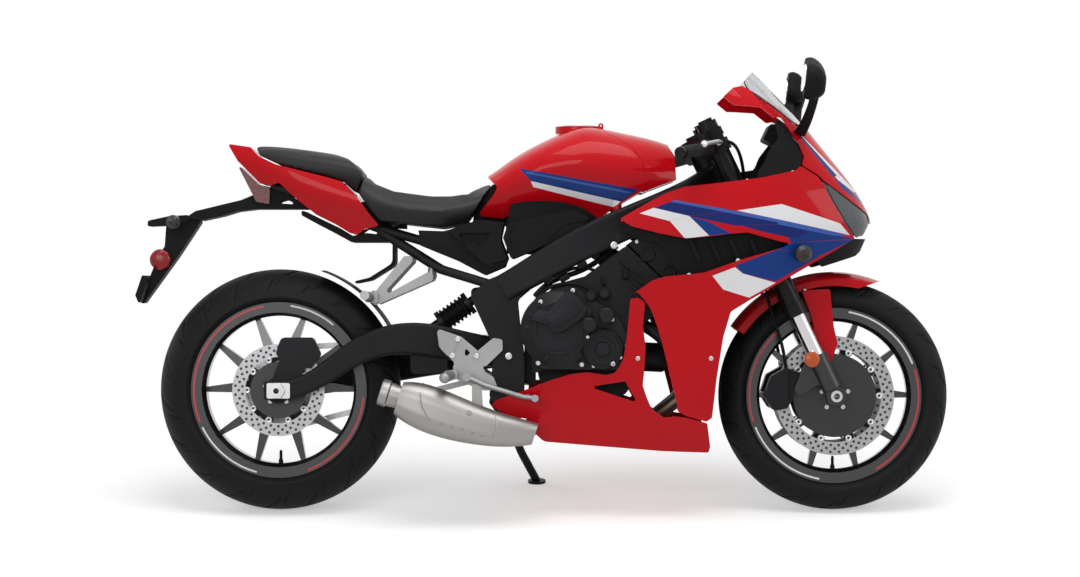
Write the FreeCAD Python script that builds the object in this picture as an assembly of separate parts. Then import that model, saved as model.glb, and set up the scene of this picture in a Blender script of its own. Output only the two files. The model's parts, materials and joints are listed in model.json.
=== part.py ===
"""A full-fairing sport motorcycle standing on its side stand, built from its real sub-assemblies.

All modelling is in the bike frame, in millimetres: x runs forward from the rear axle, y to the rider's left and
z up from the ground, with the bike upright. The last step leans the whole bike on to its stand and moves the
origin to the middle of its footprint on the floor.
"""

import FreeCAD
import Part

import math
import os
from functools import lru_cache

from FreeCAD import Matrix, Vector

# Chassis geometry
WHEELBASE = 1449.0
RAKE = 25.5
TRAIL = 101.0
LEAN = 11.0
STEERING_LOCK = 30.0

# Wheels and tyres
RIM_SEAT_RADIUS = 216.0
RIM_FLANGE_HEIGHT = 13.0
RIM_WELL_DEPTH = 17.0
RIM_WALL = 6.0
TYRE_WALL = 9.0
FRONT_TYRE_RADIUS = 300.0
FRONT_TYRE_WIDTH = 120.0
FRONT_RIM_WIDTH = 96.0
REAR_TYRE_RADIUS = 315.0
REAR_TYRE_WIDTH = 180.0
REAR_RIM_WIDTH = 146.0
SPOKE_PAIRS = 5
SPOKE_WIDTH = 13.0
SPOKE_SPLIT_RADIUS = 78.0
SPOKE_SPREAD = 18.0
AXLE_GAP = 0.2

# Axles, brakes and final drive
FRONT_AXLE_RADIUS = 12.0
FRONT_AXLE_BORE = 8.0
REAR_AXLE_RADIUS = 13.0
REAR_AXLE_BORE = 7.5
DISC_THICKNESS = 4.5
FRONT_DISC_RADIUS = 155.0
FRONT_DISC_OFFSET = 67.0
FRONT_DISC_BAND = 34.0
REAR_DISC_RADIUS = 120.0
REAR_DISC_OFFSET = 84.0
REAR_DISC_BAND = 34.0
CHAIN_PITCH = 15.875
REAR_TEETH = 42
FRONT_TEETH = 15
CHAIN_OFFSET = 107.0
CHAIN_PLATE_HEIGHT = 15.0
CHAIN_INNER_WIDTH = 8.0
CHAIN_PLATE = 2.0

# Fork and steering head
FORK_SPACING = 104.0
FORK_OUTER_RADIUS = 27.0
FORK_COLLAR_RADIUS = 30.0
STANCHION_RADIUS = 20.5
FOOT_RADIUS = 26.0
CLAMP_INNER = FORK_SPACING - FOOT_RADIUS - 2.0
STEM_RADIUS = 16.0
STEM_BORE = 8.0
HEAD_TUBE_RADIUS = 33.0
HEAD_GAP = 0.3
LOWER_YOKE_HEIGHT = 497.0
UPPER_YOKE_HEIGHT = 752.0
LOWER_YOKE_THICKNESS = 32.0
UPPER_YOKE_THICKNESS = 22.0

# Body panels and soft parts
PANEL = 3.5
SCREEN_THICKNESS = 4.0
PANEL_GAP = 2.0

# Side stand
STAND_FOOT_OFFSET = 280.0
STAND_FOOT_FORWARD = 672.0
STAND_FOOT_RADIUS = 24.0
STAND_LEG_RADIUS = 11.0
STAND_PIN_RADIUS = 6.0
STAND_SWING = 100.0

# Fuel cap
CAP_RADIUS = 50.0
CAP_GAP = 2.0
CAP_THICKNESS = 12.0
CAP_SWING = 95.0

# Datum points in the bike frame
REAR_AXLE = Vector(0, 0, REAR_TYRE_RADIUS)
FRONT_AXLE = Vector(WHEELBASE, 0, FRONT_TYRE_RADIUS)
SWING_PIVOT = Vector(600, 0, 405)
OUTPUT_SHAFT = Vector(672, 0, 418)
STAND_PIVOT = Vector(580, 163, 258)
CAP_CENTRE = Vector(782, 0, 0)

rake = math.radians(RAKE)
AXIS_UP = Vector(-math.sin(rake), 0, math.cos(rake))
AXIS_FORWARD = Vector(math.cos(rake), 0, math.sin(rake))
FORK_OFFSET = FRONT_TYRE_RADIUS * math.sin(rake) - TRAIL * math.cos(rake)
ACROSS = Vector(0, 1, 0)


def steered(up, side=0.0, forward=0.0):
    """A point by its height up the steering axis from the front axle's level, its side and its place ahead."""
    base = FRONT_AXLE - AXIS_FORWARD * FORK_OFFSET
    return base + AXIS_UP * up + AXIS_FORWARD * forward + ACROSS * side


def in_side_view(y):
    """Maps a flat (x, z) point to the upright plane at y."""
    return lambda p: Vector(p[0], y, p[1])


def in_front_view(x):
    """Maps a flat (y, z) point to the cross plane at x."""
    return lambda p: Vector(x, p[0], p[1])


def rounded_wire(points, place, radius=0.0):
    """A closed wire through flat points. A corner's third number, or else radius, rounds it."""
    corners = []
    count = len(points)
    for i, point in enumerate(points):
        before, after = points[i - 1], points[(i + 1) % count]
        size = point[2] if len(point) > 2 else radius
        a = (before[0] - point[0], before[1] - point[1])
        b = (after[0] - point[0], after[1] - point[1])
        la, lb = math.hypot(*a), math.hypot(*b)
        ua, ub = (a[0] / la, a[1] / la), (b[0] / lb, b[1] / lb)
        half = math.acos(max(-1.0, min(1.0, ua[0] * ub[0] + ua[1] * ub[1]))) / 2
        if size <= 0 or half > 1.55:
            corners.append([point[:2]])
            continue
        cut = min(size / math.tan(half), 0.45 * la, 0.45 * lb)
        size = cut * math.tan(half)
        middle = (ua[0] + ub[0], ua[1] + ub[1])
        span = math.hypot(*middle)
        reach = (size / math.sin(half) - size) / span
        corners.append(
            [
                (point[0] + ua[0] * cut, point[1] + ua[1] * cut),
                (point[0] + middle[0] * reach, point[1] + middle[1] * reach),
                (point[0] + ub[0] * cut, point[1] + ub[1] * cut),
            ]
        )
    edges = []
    for i, corner in enumerate(corners):
        if len(corner) == 3:
            edges.append(Part.Arc(*(place(p) for p in corner)).toShape())
        start, end = place(corner[-1]), place(corners[(i + 1) % count][0])
        if start.distanceToPoint(end) > 1e-5:
            edges.append(Part.makeLine(start, end))
    return Part.Wire(edges)


def slab(points, y_low, y_high, radius=0.0):
    """A plate with a side-view outline, from one y to another."""
    face = Part.Face(rounded_wire(points, in_side_view(y_low), radius))
    return face.extrude(Vector(0, y_high - y_low, 0))


def turned(profile, centre, radius=0.0, angle=360.0, start=0.0):
    """A ring turned about a cross axis through centre, from (radius, y) points."""
    place = lambda p: Vector(centre.x + p[0], centre.y + p[1], centre.z)
    face = Part.Face(rounded_wire(profile, place, radius))
    if start:
        face.rotate(centre, ACROSS, -start)
    return face.revolve(centre, Vector(0, -1, 0), angle)


def rod(start, end, radius):
    """A round bar between two points."""
    along = end - start
    return Part.makeCylinder(radius, along.Length, start, along)


def tube_path(points, bend):
    """Straight runs joined by tangent arcs, through points in space."""
    edges = []
    previous = points[0]
    for i in range(1, len(points) - 1):
        point = points[i]
        back, ahead = points[i - 1] - point, points[i + 1] - point
        back_length, ahead_length = back.Length, ahead.Length
        back.normalize()
        ahead.normalize()
        half = back.getAngle(ahead) / 2
        cut = min(bend / math.tan(half), 0.45 * back_length, 0.45 * ahead_length)
        size = cut * math.tan(half)
        middle = back + ahead
        middle.normalize()
        start, end = point + back * cut, point + ahead * cut
        edges.append(Part.makeLine(previous, start))
        edges.append(Part.Arc(start, point + middle * (size / math.sin(half) - size), end).toShape())
        previous = end
    edges.append(Part.makeLine(previous, points[-1]))
    return Part.Wire(edges)


def pipe(points, radius, bend=30.0):
    """A solid round bar bent along points."""
    if len(points) == 2:
        return rod(points[0], points[1], radius)
    path = tube_path(points, bend)
    ring = Part.Wire(Part.makeCircle(radius, points[0], points[1] - points[0]))
    return path.makePipeShell([ring], True, True)


def bar_section(centre, along, up, width, height, corner):
    """A rounded rectangle square to along, its height towards up."""
    along = Vector(along).normalize()
    side = along.cross(up).normalize()
    top = side.cross(along).normalize()
    flat = [(-width / 2, -height / 2), (width / 2, -height / 2), (width / 2, height / 2), (-width / 2, height / 2)]
    return rounded_wire(flat, lambda p: centre + side * p[0] + top * p[1], corner)


def loft(wires, ruled=False):
    """A solid through closed wires."""
    return Part.makeLoft(wires, True, ruled)


def mirrored(shape):
    """The same piece on the other side of the bike."""
    return shape.mirror(Vector(0, 0, 0), ACROSS)


def joined(shapes):
    """One solid from pieces that run into each other."""
    whole = shapes[0].fuse(shapes[1:]) if len(shapes) > 1 else shapes[0]
    return whole.removeSplitter()


def both_sides(shape):
    """A left and right pair in one node."""
    return Part.makeCompound([shape, mirrored(shape)])


def curve(points):
    """One smooth edge through points in space."""
    line = Part.BSplineCurve()
    line.interpolate(points)
    return line.toShape()


def arc(start, middle, end):
    """A circular edge through three points."""
    return Part.Arc(start, middle, end).toShape()


def arch_section(points, place):
    """A closed wire: one smooth arch over flat right-side points, from the middle out, shut by a straight foot."""
    arch = [(-p[0], p[1]) for p in reversed(points)] + [p for p in points if p[0] > 0]
    places = [place(p) for p in arch]
    return Part.Wire([curve(places), Part.makeLine(places[-1], places[0])])


def saddle(stations):
    """A solid lofted along x. A station is x, top, bottom, width at the shoulder, shoulder height, width below."""
    wires = []
    for x, top, bottom, wide, shoulder, narrow in stations:
        over = top - shoulder
        points = [
            (0, top),
            (wide * 0.62, top - over * 0.16),
            (wide * 0.93, shoulder + over * 0.38),
            (wide, shoulder),
            (narrow, (shoulder + bottom) / 2),
            (narrow, bottom),
        ]
        wires.append(arch_section(points, in_front_view(x)))
    return loft(wires)


# Wheels


def tyre(axle, radius, width, rim_width, crown):
    """A hollow tyre whose crown is one arc, standing on the rim's bead seats."""
    half, rim_half = width / 2, rim_width / 2
    bead = RIM_SEAT_RADIUS + 0.3
    flange = RIM_SEAT_RADIUS + RIM_FLANGE_HEIGHT + 1.5
    shoulder = radius - crown + math.sqrt(crown**2 - half**2)
    place = lambda p: Vector(axle.x + p[0], p[1], axle.z)
    inner_half = half - TYRE_WALL
    inner_shoulder = shoulder - TYRE_WALL / 2

    def side(sign):
        outer = [
            (shoulder, half * sign),
            ((shoulder + flange) / 2, (half + 1) * sign),
            (flange, (rim_half - 1) * sign),
        ]
        inner = [
            (inner_shoulder, inner_half * sign),
            ((inner_shoulder + flange) / 2, (inner_half - 4) * sign),
            (flange, (rim_half - 17) * sign),
        ]
        return outer, inner

    left_out, left_in = side(1)
    right_out, right_in = side(-1)
    edges = [
        arc(place(left_out[0]), place((radius, 0)), place(right_out[0])),
        arc(*(place(p) for p in right_out)),
    ]
    for sign, start, end in ((-1, right_out[2], right_in[2]),):
        toe = [start, (flange, (rim_half - 8) * sign), (bead, (rim_half - 8) * sign), (bead, (rim_half - 17) * sign), end]
        edges += [Part.makeLine(place(a), place(b)) for a, b in zip(toe, toe[1:])]
    edges.append(arc(*(place(p) for p in reversed(right_in))))
    edges.append(arc(place(right_in[0]), place((radius - TYRE_WALL, 0)), place(left_in[0])))
    edges.append(arc(*(place(p) for p in left_in)))
    for sign, start, end in ((1, left_in[2], left_out[2]),):
        toe = [start, (bead, (rim_half - 17) * sign), (bead, (rim_half - 8) * sign), (flange, (rim_half - 8) * sign), end]
        edges += [Part.makeLine(place(a), place(b)) for a, b in zip(toe, toe[1:])]
    edges.append(arc(*(place(p) for p in reversed(left_out))))
    face = Part.Face(Part.Wire(edges))
    return face.revolve(axle, ACROSS, 360)


def around(centre, radius, degrees):
    """A flat side-view point on a circle about an axle."""
    angle = math.radians(degrees)
    return (centre.x + radius * math.cos(angle), centre.z + radius * math.sin(angle))


def spoke_pair(axle, root, hub_depth, rim_depth):
    """Two spokes that part from one root, thinner and narrower towards the rim."""
    reach = RIM_SEAT_RADIUS - RIM_WELL_DEPTH - RIM_WALL + 3
    edge = math.degrees(SPOKE_WIDTH / 2 / reach)
    right = [
        around(axle, 30, root - 34) + (0,),
        around(axle, SPOKE_SPLIT_RADIUS, root - 24) + (60,),
        around(axle, reach, root - SPOKE_SPREAD - edge) + (0,),
        around(axle, reach, root - SPOKE_SPREAD + edge) + (0,),
        around(axle, SPOKE_SPLIT_RADIUS, root) + (7,),
    ]
    left = [
        around(axle, reach, root + SPOKE_SPREAD - edge) + (0,),
        around(axle, reach, root + SPOKE_SPREAD + edge) + (0,),
        around(axle, SPOKE_SPLIT_RADIUS, root + 24) + (60,),
        around(axle, 30, root + 34) + (0,),
    ]
    return slab(right + left, -hub_depth / 2, hub_depth / 2)


def rim(axle, rim_width, hub, hub_depth, rim_depth):
    """A cast wheel: the rim's section, ten spokes in five pairs, and a hub given by its (radius, y) profile."""
    half = rim_width / 2
    seat = RIM_SEAT_RADIUS
    flange = seat + RIM_FLANGE_HEIGHT
    well = seat - RIM_WELL_DEPTH
    right = [
        (flange, half),
        (flange, half - 5),
        (seat, half - 7),
        (seat - 3, half * 0.5 + 4),
        (well, half * 0.5 - 7),
    ]
    under = [(well - RIM_WALL, half * 0.5 - 9), (seat - 14, half * 0.5 + 8), (seat - 14, half)]
    profile = right + [(r, -y) for r, y in reversed(right)]
    profile += [(r, -y) for r, y in reversed(under)] + under
    pieces = [turned(profile, axle), turned(hub, axle)]
    near, far = hub_depth / 2, rim_depth / 2
    reach = well + 4
    wedge = turned([(0, -near), (46, -near), (reach, -far), (reach, far), (46, near), (0, near)], axle)
    for pair in range(SPOKE_PAIRS):
        root = 90 + pair * 360 / SPOKE_PAIRS
        pieces.append(spoke_pair(axle, root, hub_depth + 2, rim_depth).common(wedge))
    whole = pieces[0].fuse(pieces[1:])
    bore = min(r for r, y in hub)
    return whole.cut(rod(axle - ACROSS * 200, axle + ACROSS * 200, bore))


def front_tyre():
    return tyre(FRONT_AXLE, FRONT_TYRE_RADIUS, FRONT_TYRE_WIDTH, FRONT_RIM_WIDTH, 64.0)


def rear_tyre():
    return tyre(REAR_AXLE, REAR_TYRE_RADIUS, REAR_TYRE_WIDTH, REAR_RIM_WIDTH, 94.0)


def front_rim():
    bore = FRONT_AXLE_RADIUS + AXLE_GAP
    face = FRONT_DISC_OFFSET - DISC_THICKNESS / 2
    end = CLAMP_INNER - HEAD_GAP
    half = [(bore, end), (19, end), (19, face), (46, face), (46, face - 8), (34, face - 20), (34, 0)]
    hub = half + [(r, -y) for r, y in reversed(half[:-1])]
    return rim(FRONT_AXLE, FRONT_RIM_WIDTH, hub, 56.0, 26.0)


def rear_rim():
    bore = REAR_AXLE_RADIUS + AXLE_GAP
    right = REAR_DISC_OFFSET - DISC_THICKNESS / 2
    left = CHAIN_OFFSET - 3.5
    hub = [
        (bore, -ARM_INNER_RIGHT + HEAD_GAP),
        (21, -ARM_INNER_RIGHT + HEAD_GAP),
        (21, -right),
        (46, -right),
        (46, -right + 9),
        (38, -right + 24),
        (38, 40),
        (62, 52),
        (62, left),
        (22, left),
        (22, ARM_INNER_LEFT - HEAD_GAP),
        (bore, ARM_INNER_LEFT - HEAD_GAP),
    ]
    return rim(REAR_AXLE, REAR_RIM_WIDTH, hub, 62.0, 30.0)


def brake_disc(axle, offset, radius, band, carrier_bore, bobbins):
    """A floating disc: the drilled band, its carrier with open windows, and the bobbins that join them."""
    low, high = offset - DISC_THICKNESS / 2, offset + DISC_THICKNESS / 2
    if offset < 0:
        low, high = high, low
    inner = radius - band
    join = inner - 5
    ring = lambda a, b: turned([(a, low), (b, low), (b, high), (a, high)], axle)
    pieces = [ring(inner, radius), ring(carrier_bore, inner - 13)]
    for i in range(bobbins):
        x, z = around(axle, join, i * 360 / bobbins)
        pieces.append(rod(Vector(x, low, z), Vector(x, high, z), 9.5))
    disc = joined(pieces)
    windows = []
    mid = (carrier_bore + 22 + inner - 21) / 2
    for i in range(bobbins // 2):
        for lean in (-14, 14):
            x, z = around(axle, mid, 90 + (i + 0.5) * 720 / bobbins + lean)
            windows.append(rod(Vector(x, low - 1, z), Vector(x, high + 1, z), 8.5))
    for i in range(bobbins * 3):
        for step in range(2):
            r = inner + 9 + step * (band - 18)
            x, z = around(axle, r, (i + step * 0.5) * 120 / bobbins)
            windows.append(rod(Vector(x, low - 1, z), Vector(x, high + 1, z), 3.0))
    return disc.cut(Part.makeCompound(windows))


def front_discs():
    disc = brake_disc(FRONT_AXLE, -FRONT_DISC_OFFSET, FRONT_DISC_RADIUS, FRONT_DISC_BAND, 20.0, 10)
    return both_sides(disc)


def rear_disc():
    return brake_disc(REAR_AXLE, -REAR_DISC_OFFSET, REAR_DISC_RADIUS, REAR_DISC_BAND, 22.0, 10)


def pitch_radius(teeth):
    return CHAIN_PITCH / (2 * math.sin(math.pi / teeth))


def rear_sprocket():
    """A toothed ring with round windows, bolted to the hub's left face."""
    low, high = CHAIN_OFFSET - 3.4, CHAIN_OFFSET + 3.4
    root = pitch_radius(REAR_TEETH) - 5.2
    tip = pitch_radius(REAR_TEETH) + 3.6
    outline = []
    step = 360 / REAR_TEETH
    for i in range(REAR_TEETH):
        for radius, turn in ((root, -0.26), (tip, -0.09), (tip, 0.09), (root, 0.26)):
            outline.append(around(REAR_AXLE, radius, (i + 0.5 + turn) * step))
    plate = slab(outline, low, high)
    holes = [rod(REAR_AXLE, REAR_AXLE + ACROSS * 200, 22.0 + AXLE_GAP)]
    for i in range(SPOKE_PAIRS):
        x, z = around(REAR_AXLE, 80, 90 + i * 72)
        holes.append(rod(Vector(x, 0, z), Vector(x, 200, z), 13.0))
    return plate.cut(Part.makeCompound(holes))


# Swingarm, axle, chain and rear brake

ARM_INNER_RIGHT = 101.0
ARM_INNER_LEFT = 125.0
ARM_THICKNESS = 32.0
PLATE_INNER = 122.0
PLATE_THICKNESS = 22.0
PIVOT_TUBE_RADIUS = 26.0
PIVOT_PIN_RADIUS = 10.0


def arm(stations, y_far):
    """One swingarm leg, lofted through (x, y, z, height) stations."""
    sections = []
    for i, (x, y, z, height) in enumerate(stations):
        ahead = stations[min(i + 1, len(stations) - 1)]
        behind = stations[max(i - 1, 0)]
        along = Vector(ahead[0] - behind[0], 0, ahead[2] - behind[2])
        sections.append(bar_section(Vector(x, y, z), along, Vector(0, 0, 1), ARM_THICKNESS, height, 9.0))
    return loft(sections)


@lru_cache(None)
def swingarm():
    """Two legs, the pivot tube, a bridge ahead of the tyre and the axle ends with their slots."""
    right = -(ARM_INNER_RIGHT + ARM_THICKNESS / 2)
    left = ARM_INNER_LEFT + ARM_THICKNESS / 2
    root = PLATE_INNER - ARM_THICKNESS / 2 - 1.5
    end = REAR_AXLE.z
    pivot = SWING_PIVOT
    legs = [
        arm(
            [
                (pivot.x, -root, pivot.z, 62),
                (pivot.x - 110, -root, pivot.z + 22, 80),
                (pivot.x - 215, right, pivot.z + 42, 84),
                (pivot.x - 310, right, pivot.z + 40, 78),
                (200, right, pivot.z + 6, 66),
                (110, right, end + 36, 54),
                (36, right, end + 4, 50),
                (-34, right, end, 46),
            ],
            right,
        ),
        arm(
            [
                (pivot.x, CHAIN_OFFSET - 10, pivot.z - 4, 56),
                (pivot.x - 90, root - 2, pivot.z - 12, 60),
                (pivot.x - 180, root + 12, pivot.z - 18, 70),
                (pivot.x - 290, left, pivot.z - 34, 74),
                (150, left, end + 22, 62),
                (40, left, end + 2, 50),
                (-34, left, end, 46),
            ],
            left,
        ),
    ]
    tube = rod(pivot - ACROSS * (PLATE_INNER - 1), pivot + ACROSS * (PLATE_INNER - 1), PIVOT_TUBE_RADIUS)
    bridge = slab(
        [(345, pivot.z - 48, 14), (345, pivot.z + 22, 14), (440, pivot.z + 18, 14), (440, pivot.z - 44, 14)],
        right,
        CHAIN_OFFSET - 14,
        14.0,
    )
    reach = slab(
        [(390, pivot.z - 36, 8), (390, pivot.z + 4, 8), (440, pivot.z + 4, 8), (440, pivot.z - 36, 8)],
        CHAIN_OFFSET - 20,
        left,
    )
    whole = joined(legs + [tube, bridge, reach])
    cuts = [
        rod(pivot - ACROSS * 300, pivot + ACROSS * 300, PIVOT_PIN_RADIUS + HEAD_GAP),
        rod(REAR_AXLE - ACROSS * 300, REAR_AXLE + ACROSS * 300, REAR_AXLE_RADIUS + AXLE_GAP),
    ]
    return whole.cut(Part.makeCompound(cuts))


def rear_axle():
    """The hollow rear spindle, its nut, and an adjuster block on each end."""
    right, left = -(ARM_INNER_RIGHT + ARM_THICKNESS), ARM_INNER_LEFT + ARM_THICKNESS
    shaft = rod(REAR_AXLE + ACROSS * (right - 26), REAR_AXLE + ACROSS * (left + 24), REAR_AXLE_RADIUS)
    pieces = [shaft]
    for low, high in ((right - 8, right - 0.3), (left + 0.3, left + 8)):
        pieces.append(slab([(-26, 295, 5), (-26, 335, 5), (34, 335, 5), (34, 295, 5)], low, high))
    for low, high in ((right - 22, right - 8), (left + 8, left + 20)):
        corners = [around(REAR_AXLE, 21, i * 60) for i in range(6)]
        pieces.append(slab(corners, low, high))
    whole = joined(pieces).cut(swingarm())
    return whole.cut(rod(REAR_AXLE - ACROSS * 300, REAR_AXLE + ACROSS * 300, REAR_AXLE_BORE))


def tangent_run(grow):
    """Where the chain leaves both sprockets on the top and bottom runs, at a height off the pitch line."""
    big, small = pitch_radius(REAR_TEETH) + grow, pitch_radius(FRONT_TEETH) + grow
    reach = OUTPUT_SHAFT - REAR_AXLE
    length = math.hypot(reach.x, reach.z)
    slope = math.degrees(math.atan2(reach.z, reach.x))
    lean = math.degrees(math.acos((big - small) / length))
    return big, small, slope + lean, slope - lean


def chain_loop(grow, y_low, y_high):
    big, small, top, bottom = tangent_run(grow)
    back, front = in_side_view(y_low), in_side_view(y_low)
    slope = (top + bottom) / 2
    edges = [
        Part.makeLine(back(around(REAR_AXLE, big, top)), front(around(OUTPUT_SHAFT, small, top))),
        arc(*(front(around(OUTPUT_SHAFT, small, a)) for a in (top, slope, bottom))),
        Part.makeLine(front(around(OUTPUT_SHAFT, small, bottom)), back(around(REAR_AXLE, big, bottom))),
        arc(*(back(around(REAR_AXLE, big, a)) for a in (bottom, slope + 180, top))),
    ]
    return Part.Face(Part.Wire(edges)).extrude(Vector(0, y_high - y_low, 0))


def chain():
    """The drive chain as one loop: two rows of side plates, tied by a block at each link of the straight runs."""
    half = CHAIN_PLATE_HEIGHT / 2
    inner = CHAIN_INNER_WIDTH / 2
    outer = inner + 2 * CHAIN_PLATE
    bands = []
    for low, high in ((CHAIN_OFFSET - outer, CHAIN_OFFSET - inner), (CHAIN_OFFSET + inner, CHAIN_OFFSET + outer)):
        band = chain_loop(half, low, high).cut(chain_loop(-half, low - 1, high + 1))
        bands.append(band)
    big, small, top, bottom = tangent_run(0)
    for angle in (top, bottom):
        start, end = around(REAR_AXLE, big, angle), around(OUTPUT_SHAFT, small, angle)
        length = math.hypot(end[0] - start[0], end[1] - start[1])
        ux, uz = (end[0] - start[0]) / length, (end[1] - start[1]) / length
        for link in range(4, int(length / CHAIN_PITCH) - 1):
            x, z = start[0] + ux * link * CHAIN_PITCH, start[1] + uz * link * CHAIN_PITCH
            corners = [(x + ux * a - uz * b, z + uz * a + ux * b) for a, b in ((-4, -4), (4, -4), (4, 4), (-4, 4))]
            bands.append(slab(corners, CHAIN_OFFSET - inner - 1, CHAIN_OFFSET + inner + 1))
    return bands[0].fuse(bands[1:])


def rear_caliper():
    """A one-piston caliper over the top of the rear disc, with its bracket round the axle."""
    gap = 2.0
    low, high = -REAR_DISC_OFFSET - 15, -REAR_DISC_OFFSET + 17
    body = slab([(-6, 412, 10), (8, 452, 14), (92, 452, 14), (112, 408, 10), (86, 372, 8), (14, 376, 8)], low, high, 8)
    slot_low = -REAR_DISC_OFFSET - DISC_THICKNESS / 2 - gap
    slot_high = -REAR_DISC_OFFSET + DISC_THICKNESS / 2 + gap
    reach = REAR_DISC_RADIUS + 4
    slot = turned([(0, slot_low), (reach, slot_low), (reach, slot_high), (0, slot_high)], REAR_AXLE)
    inner, outer = low + 8, -ARM_INNER_RIGHT + HEAD_GAP
    stay = slab([(-20, 330, 6), (24, 300, 6), (74, 376, 6), (70, 420, 6), (14, 420, 6)], outer, inner)
    ring = turned([(0, outer), (34, outer), (34, inner), (0, inner)], REAR_AXLE)
    whole = joined([body.cut(slot), stay, ring])
    return whole.cut(rod(REAR_AXLE - ACROSS * 300, REAR_AXLE + ACROSS * 300, 21.0 + HEAD_GAP))


def chain_guard():
    """The guard over the chain's top run and the inner mudguard that follows the tyre ahead of it."""
    outer, inner = REAR_TYRE_RADIUS + 17, REAR_TYRE_RADIUS + 14
    half = REAR_TYRE_WIDTH / 2
    top = turned([(inner, -half + 8), (outer, -half + 8), (outer, half), (inner, half)], REAR_AXLE, 0, 52, 18)
    lug = slab([(316, 398, 4), (346 - 1.3, 398, 4), (346 - 1.3, 424, 4), (310, 424, 4)], -24, 24)
    return joined([top, lug])


def shock():
    """The single shock with its spring round it, from the frame's cross tube down to the swingarm's bridge."""
    top, bottom = SHOCK_TOP, SHOCK_BOTTOM
    along = (bottom - top).normalize()
    length = (bottom - top).Length
    first, last = 40.0, length - 44.0
    pitch = (last - first) / SPRING_TURNS
    profile = [(0, 10), (12, 10), (12, first - 12), (31, first - 12), (31, first), (24, first)]
    for turn in range(SPRING_TURNS):
        start = first + turn * pitch
        profile += [(24, start + 0.2 * pitch, 3), (30, start + 0.4 * pitch, 3), (30, start + 0.7 * pitch, 3), (24, start + 0.9 * pitch, 3)]
    profile += [(24, last), (31, last), (31, last + 12), (14, last + 12), (14, length - 10), (0, length - 10)]
    body = turned_along(top, along, profile)
    eyes = [rod(p - ACROSS * 14, p + ACROSS * 14, 17) for p in (top, bottom)]
    whole = joined([body] + eyes)
    bolts = [rod(p - ACROSS * 60, p + ACROSS * 60, 8 + HEAD_GAP) for p in (top, bottom)]
    return whole.cut(Part.makeCompound(bolts))


SPRING_TURNS = 6
SHOCK_TOP = Vector(520, 0, 560)
SHOCK_BOTTOM = Vector(392, 0, 470)


# Frame, engine and exhaust


def spar():
    """The right frame spar, swelling from the steering head round the engine to its pivot plate."""
    head = steered((LOWER_YOKE_HEIGHT + UPPER_YOKE_HEIGHT) / 2 + 6)
    stations = [
        (Vector(head.x - 4, -16, head.z - 6), 30, 118),
        (Vector(1060, -78, 812), 30, 92),
        (Vector(950, -138, 768), 32, 82),
        (Vector(800, -160, 700), 32, 84),
        (Vector(680, -152, 634), 30, 78),
        (Vector(585, -136, 580), 28, 70),
    ]
    wires = []
    for i, (centre, width, height) in enumerate(stations):
        ahead, behind = stations[max(i - 1, 0)][0], stations[min(i + 1, len(stations) - 1)][0]
        wires.append(bar_section(centre, ahead - behind, Vector(0, 0, 1), width, height, 10.0))
    return loft(wires)


@lru_cache(None)
def main_frame():
    """Head tube, twin spars, pivot plates, cross tubes, the swingarm pin and the engine hangers."""
    low, high = -(PLATE_INNER + PLATE_THICKNESS), -PLATE_INNER
    head_low = LOWER_YOKE_HEIGHT + LOWER_YOKE_THICKNESS / 2 + HEAD_GAP
    head_high = UPPER_YOKE_HEIGHT - UPPER_YOKE_THICKNESS / 2 - HEAD_GAP
    tube = rod(steered(head_low), steered(head_high), HEAD_TUBE_RADIUS)
    plate = slab(
        [
            (540, 600, 20),
            (640, 640, 20),
            (672, 590, 20),
            (622, 548, 20),
            (630, 470, 30),
            (640, 400, 30),
            (640, 330, 20),
            (638, 280, 12),
            (600, 280, 12),
            (548, 290, 20),
            (556, 360, 30),
            (560, 430, 40),
            (528, 500, 30),
            (500, 560, 20),
        ],
        low,
        high,
    )
    pivot = SWING_PIVOT
    right = [spar(), plate]
    left = [mirrored(piece) for piece in right]
    across = [
        rod(Vector(560, low, 565), Vector(560, -low, 565), 17),
        rod(Vector(590, low, 312), Vector(590, -low, 312), 14),
        rod(pivot + ACROSS * (low - 8), pivot + ACROSS * (8 - low), PIVOT_PIN_RADIUS),
        slab([(500, 545, 8), (500, 580, 12), (560, 590, 8), (560, 545, 8)], -26, -16),
        slab([(500, 545, 8), (500, 580, 12), (560, 590, 8), (560, 545, 8)], 16, 26),
        rod(SHOCK_TOP - ACROSS * 25, SHOCK_TOP + ACROSS * 25, 8),
        rod(Vector(876, -172, 712), Vector(876, -120, 712), 12),
        rod(Vector(876, 120, 712), Vector(876, 172, 712), 12),
    ]
    whole = joined([tube] + right + left + across + [stand_bracket()])
    return whole.cut(rod(steered(head_low - 5), steered(head_high + 5), STEM_RADIUS + HEAD_GAP))


@lru_cache(None)
def subframe():
    """The two seat rails, their stays and the cross members."""
    rail = [Vector(562, -130, 642), Vector(420, -106, 690), Vector(250, -70, 740), Vector(60, -56, 822), Vector(-20, -48, 850)]
    stay = [Vector(545, -132, 592), Vector(420, -116, 630), Vector(262, -74, 730)]
    pieces = []
    for path in (rail, stay):
        right = pipe(path, 12.0, 60.0)
        pieces += [right, mirrored(right)]
    for x, z, half in ((300, 725, 76), (90, 808, 56), (470, 673, 110)):
        pieces.append(rod(Vector(x, -half, z), Vector(x, half, z), 10.5))
    return pieces[0].fuse(pieces[1:]).cut(main_frame())


CRANKCASE_HALF = 165.0
HEAD_HALF = 158.0
RIGHT_COVER = 215.0
LEFT_COVER = 222.0
CASE_SEAM = 0.2


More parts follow.
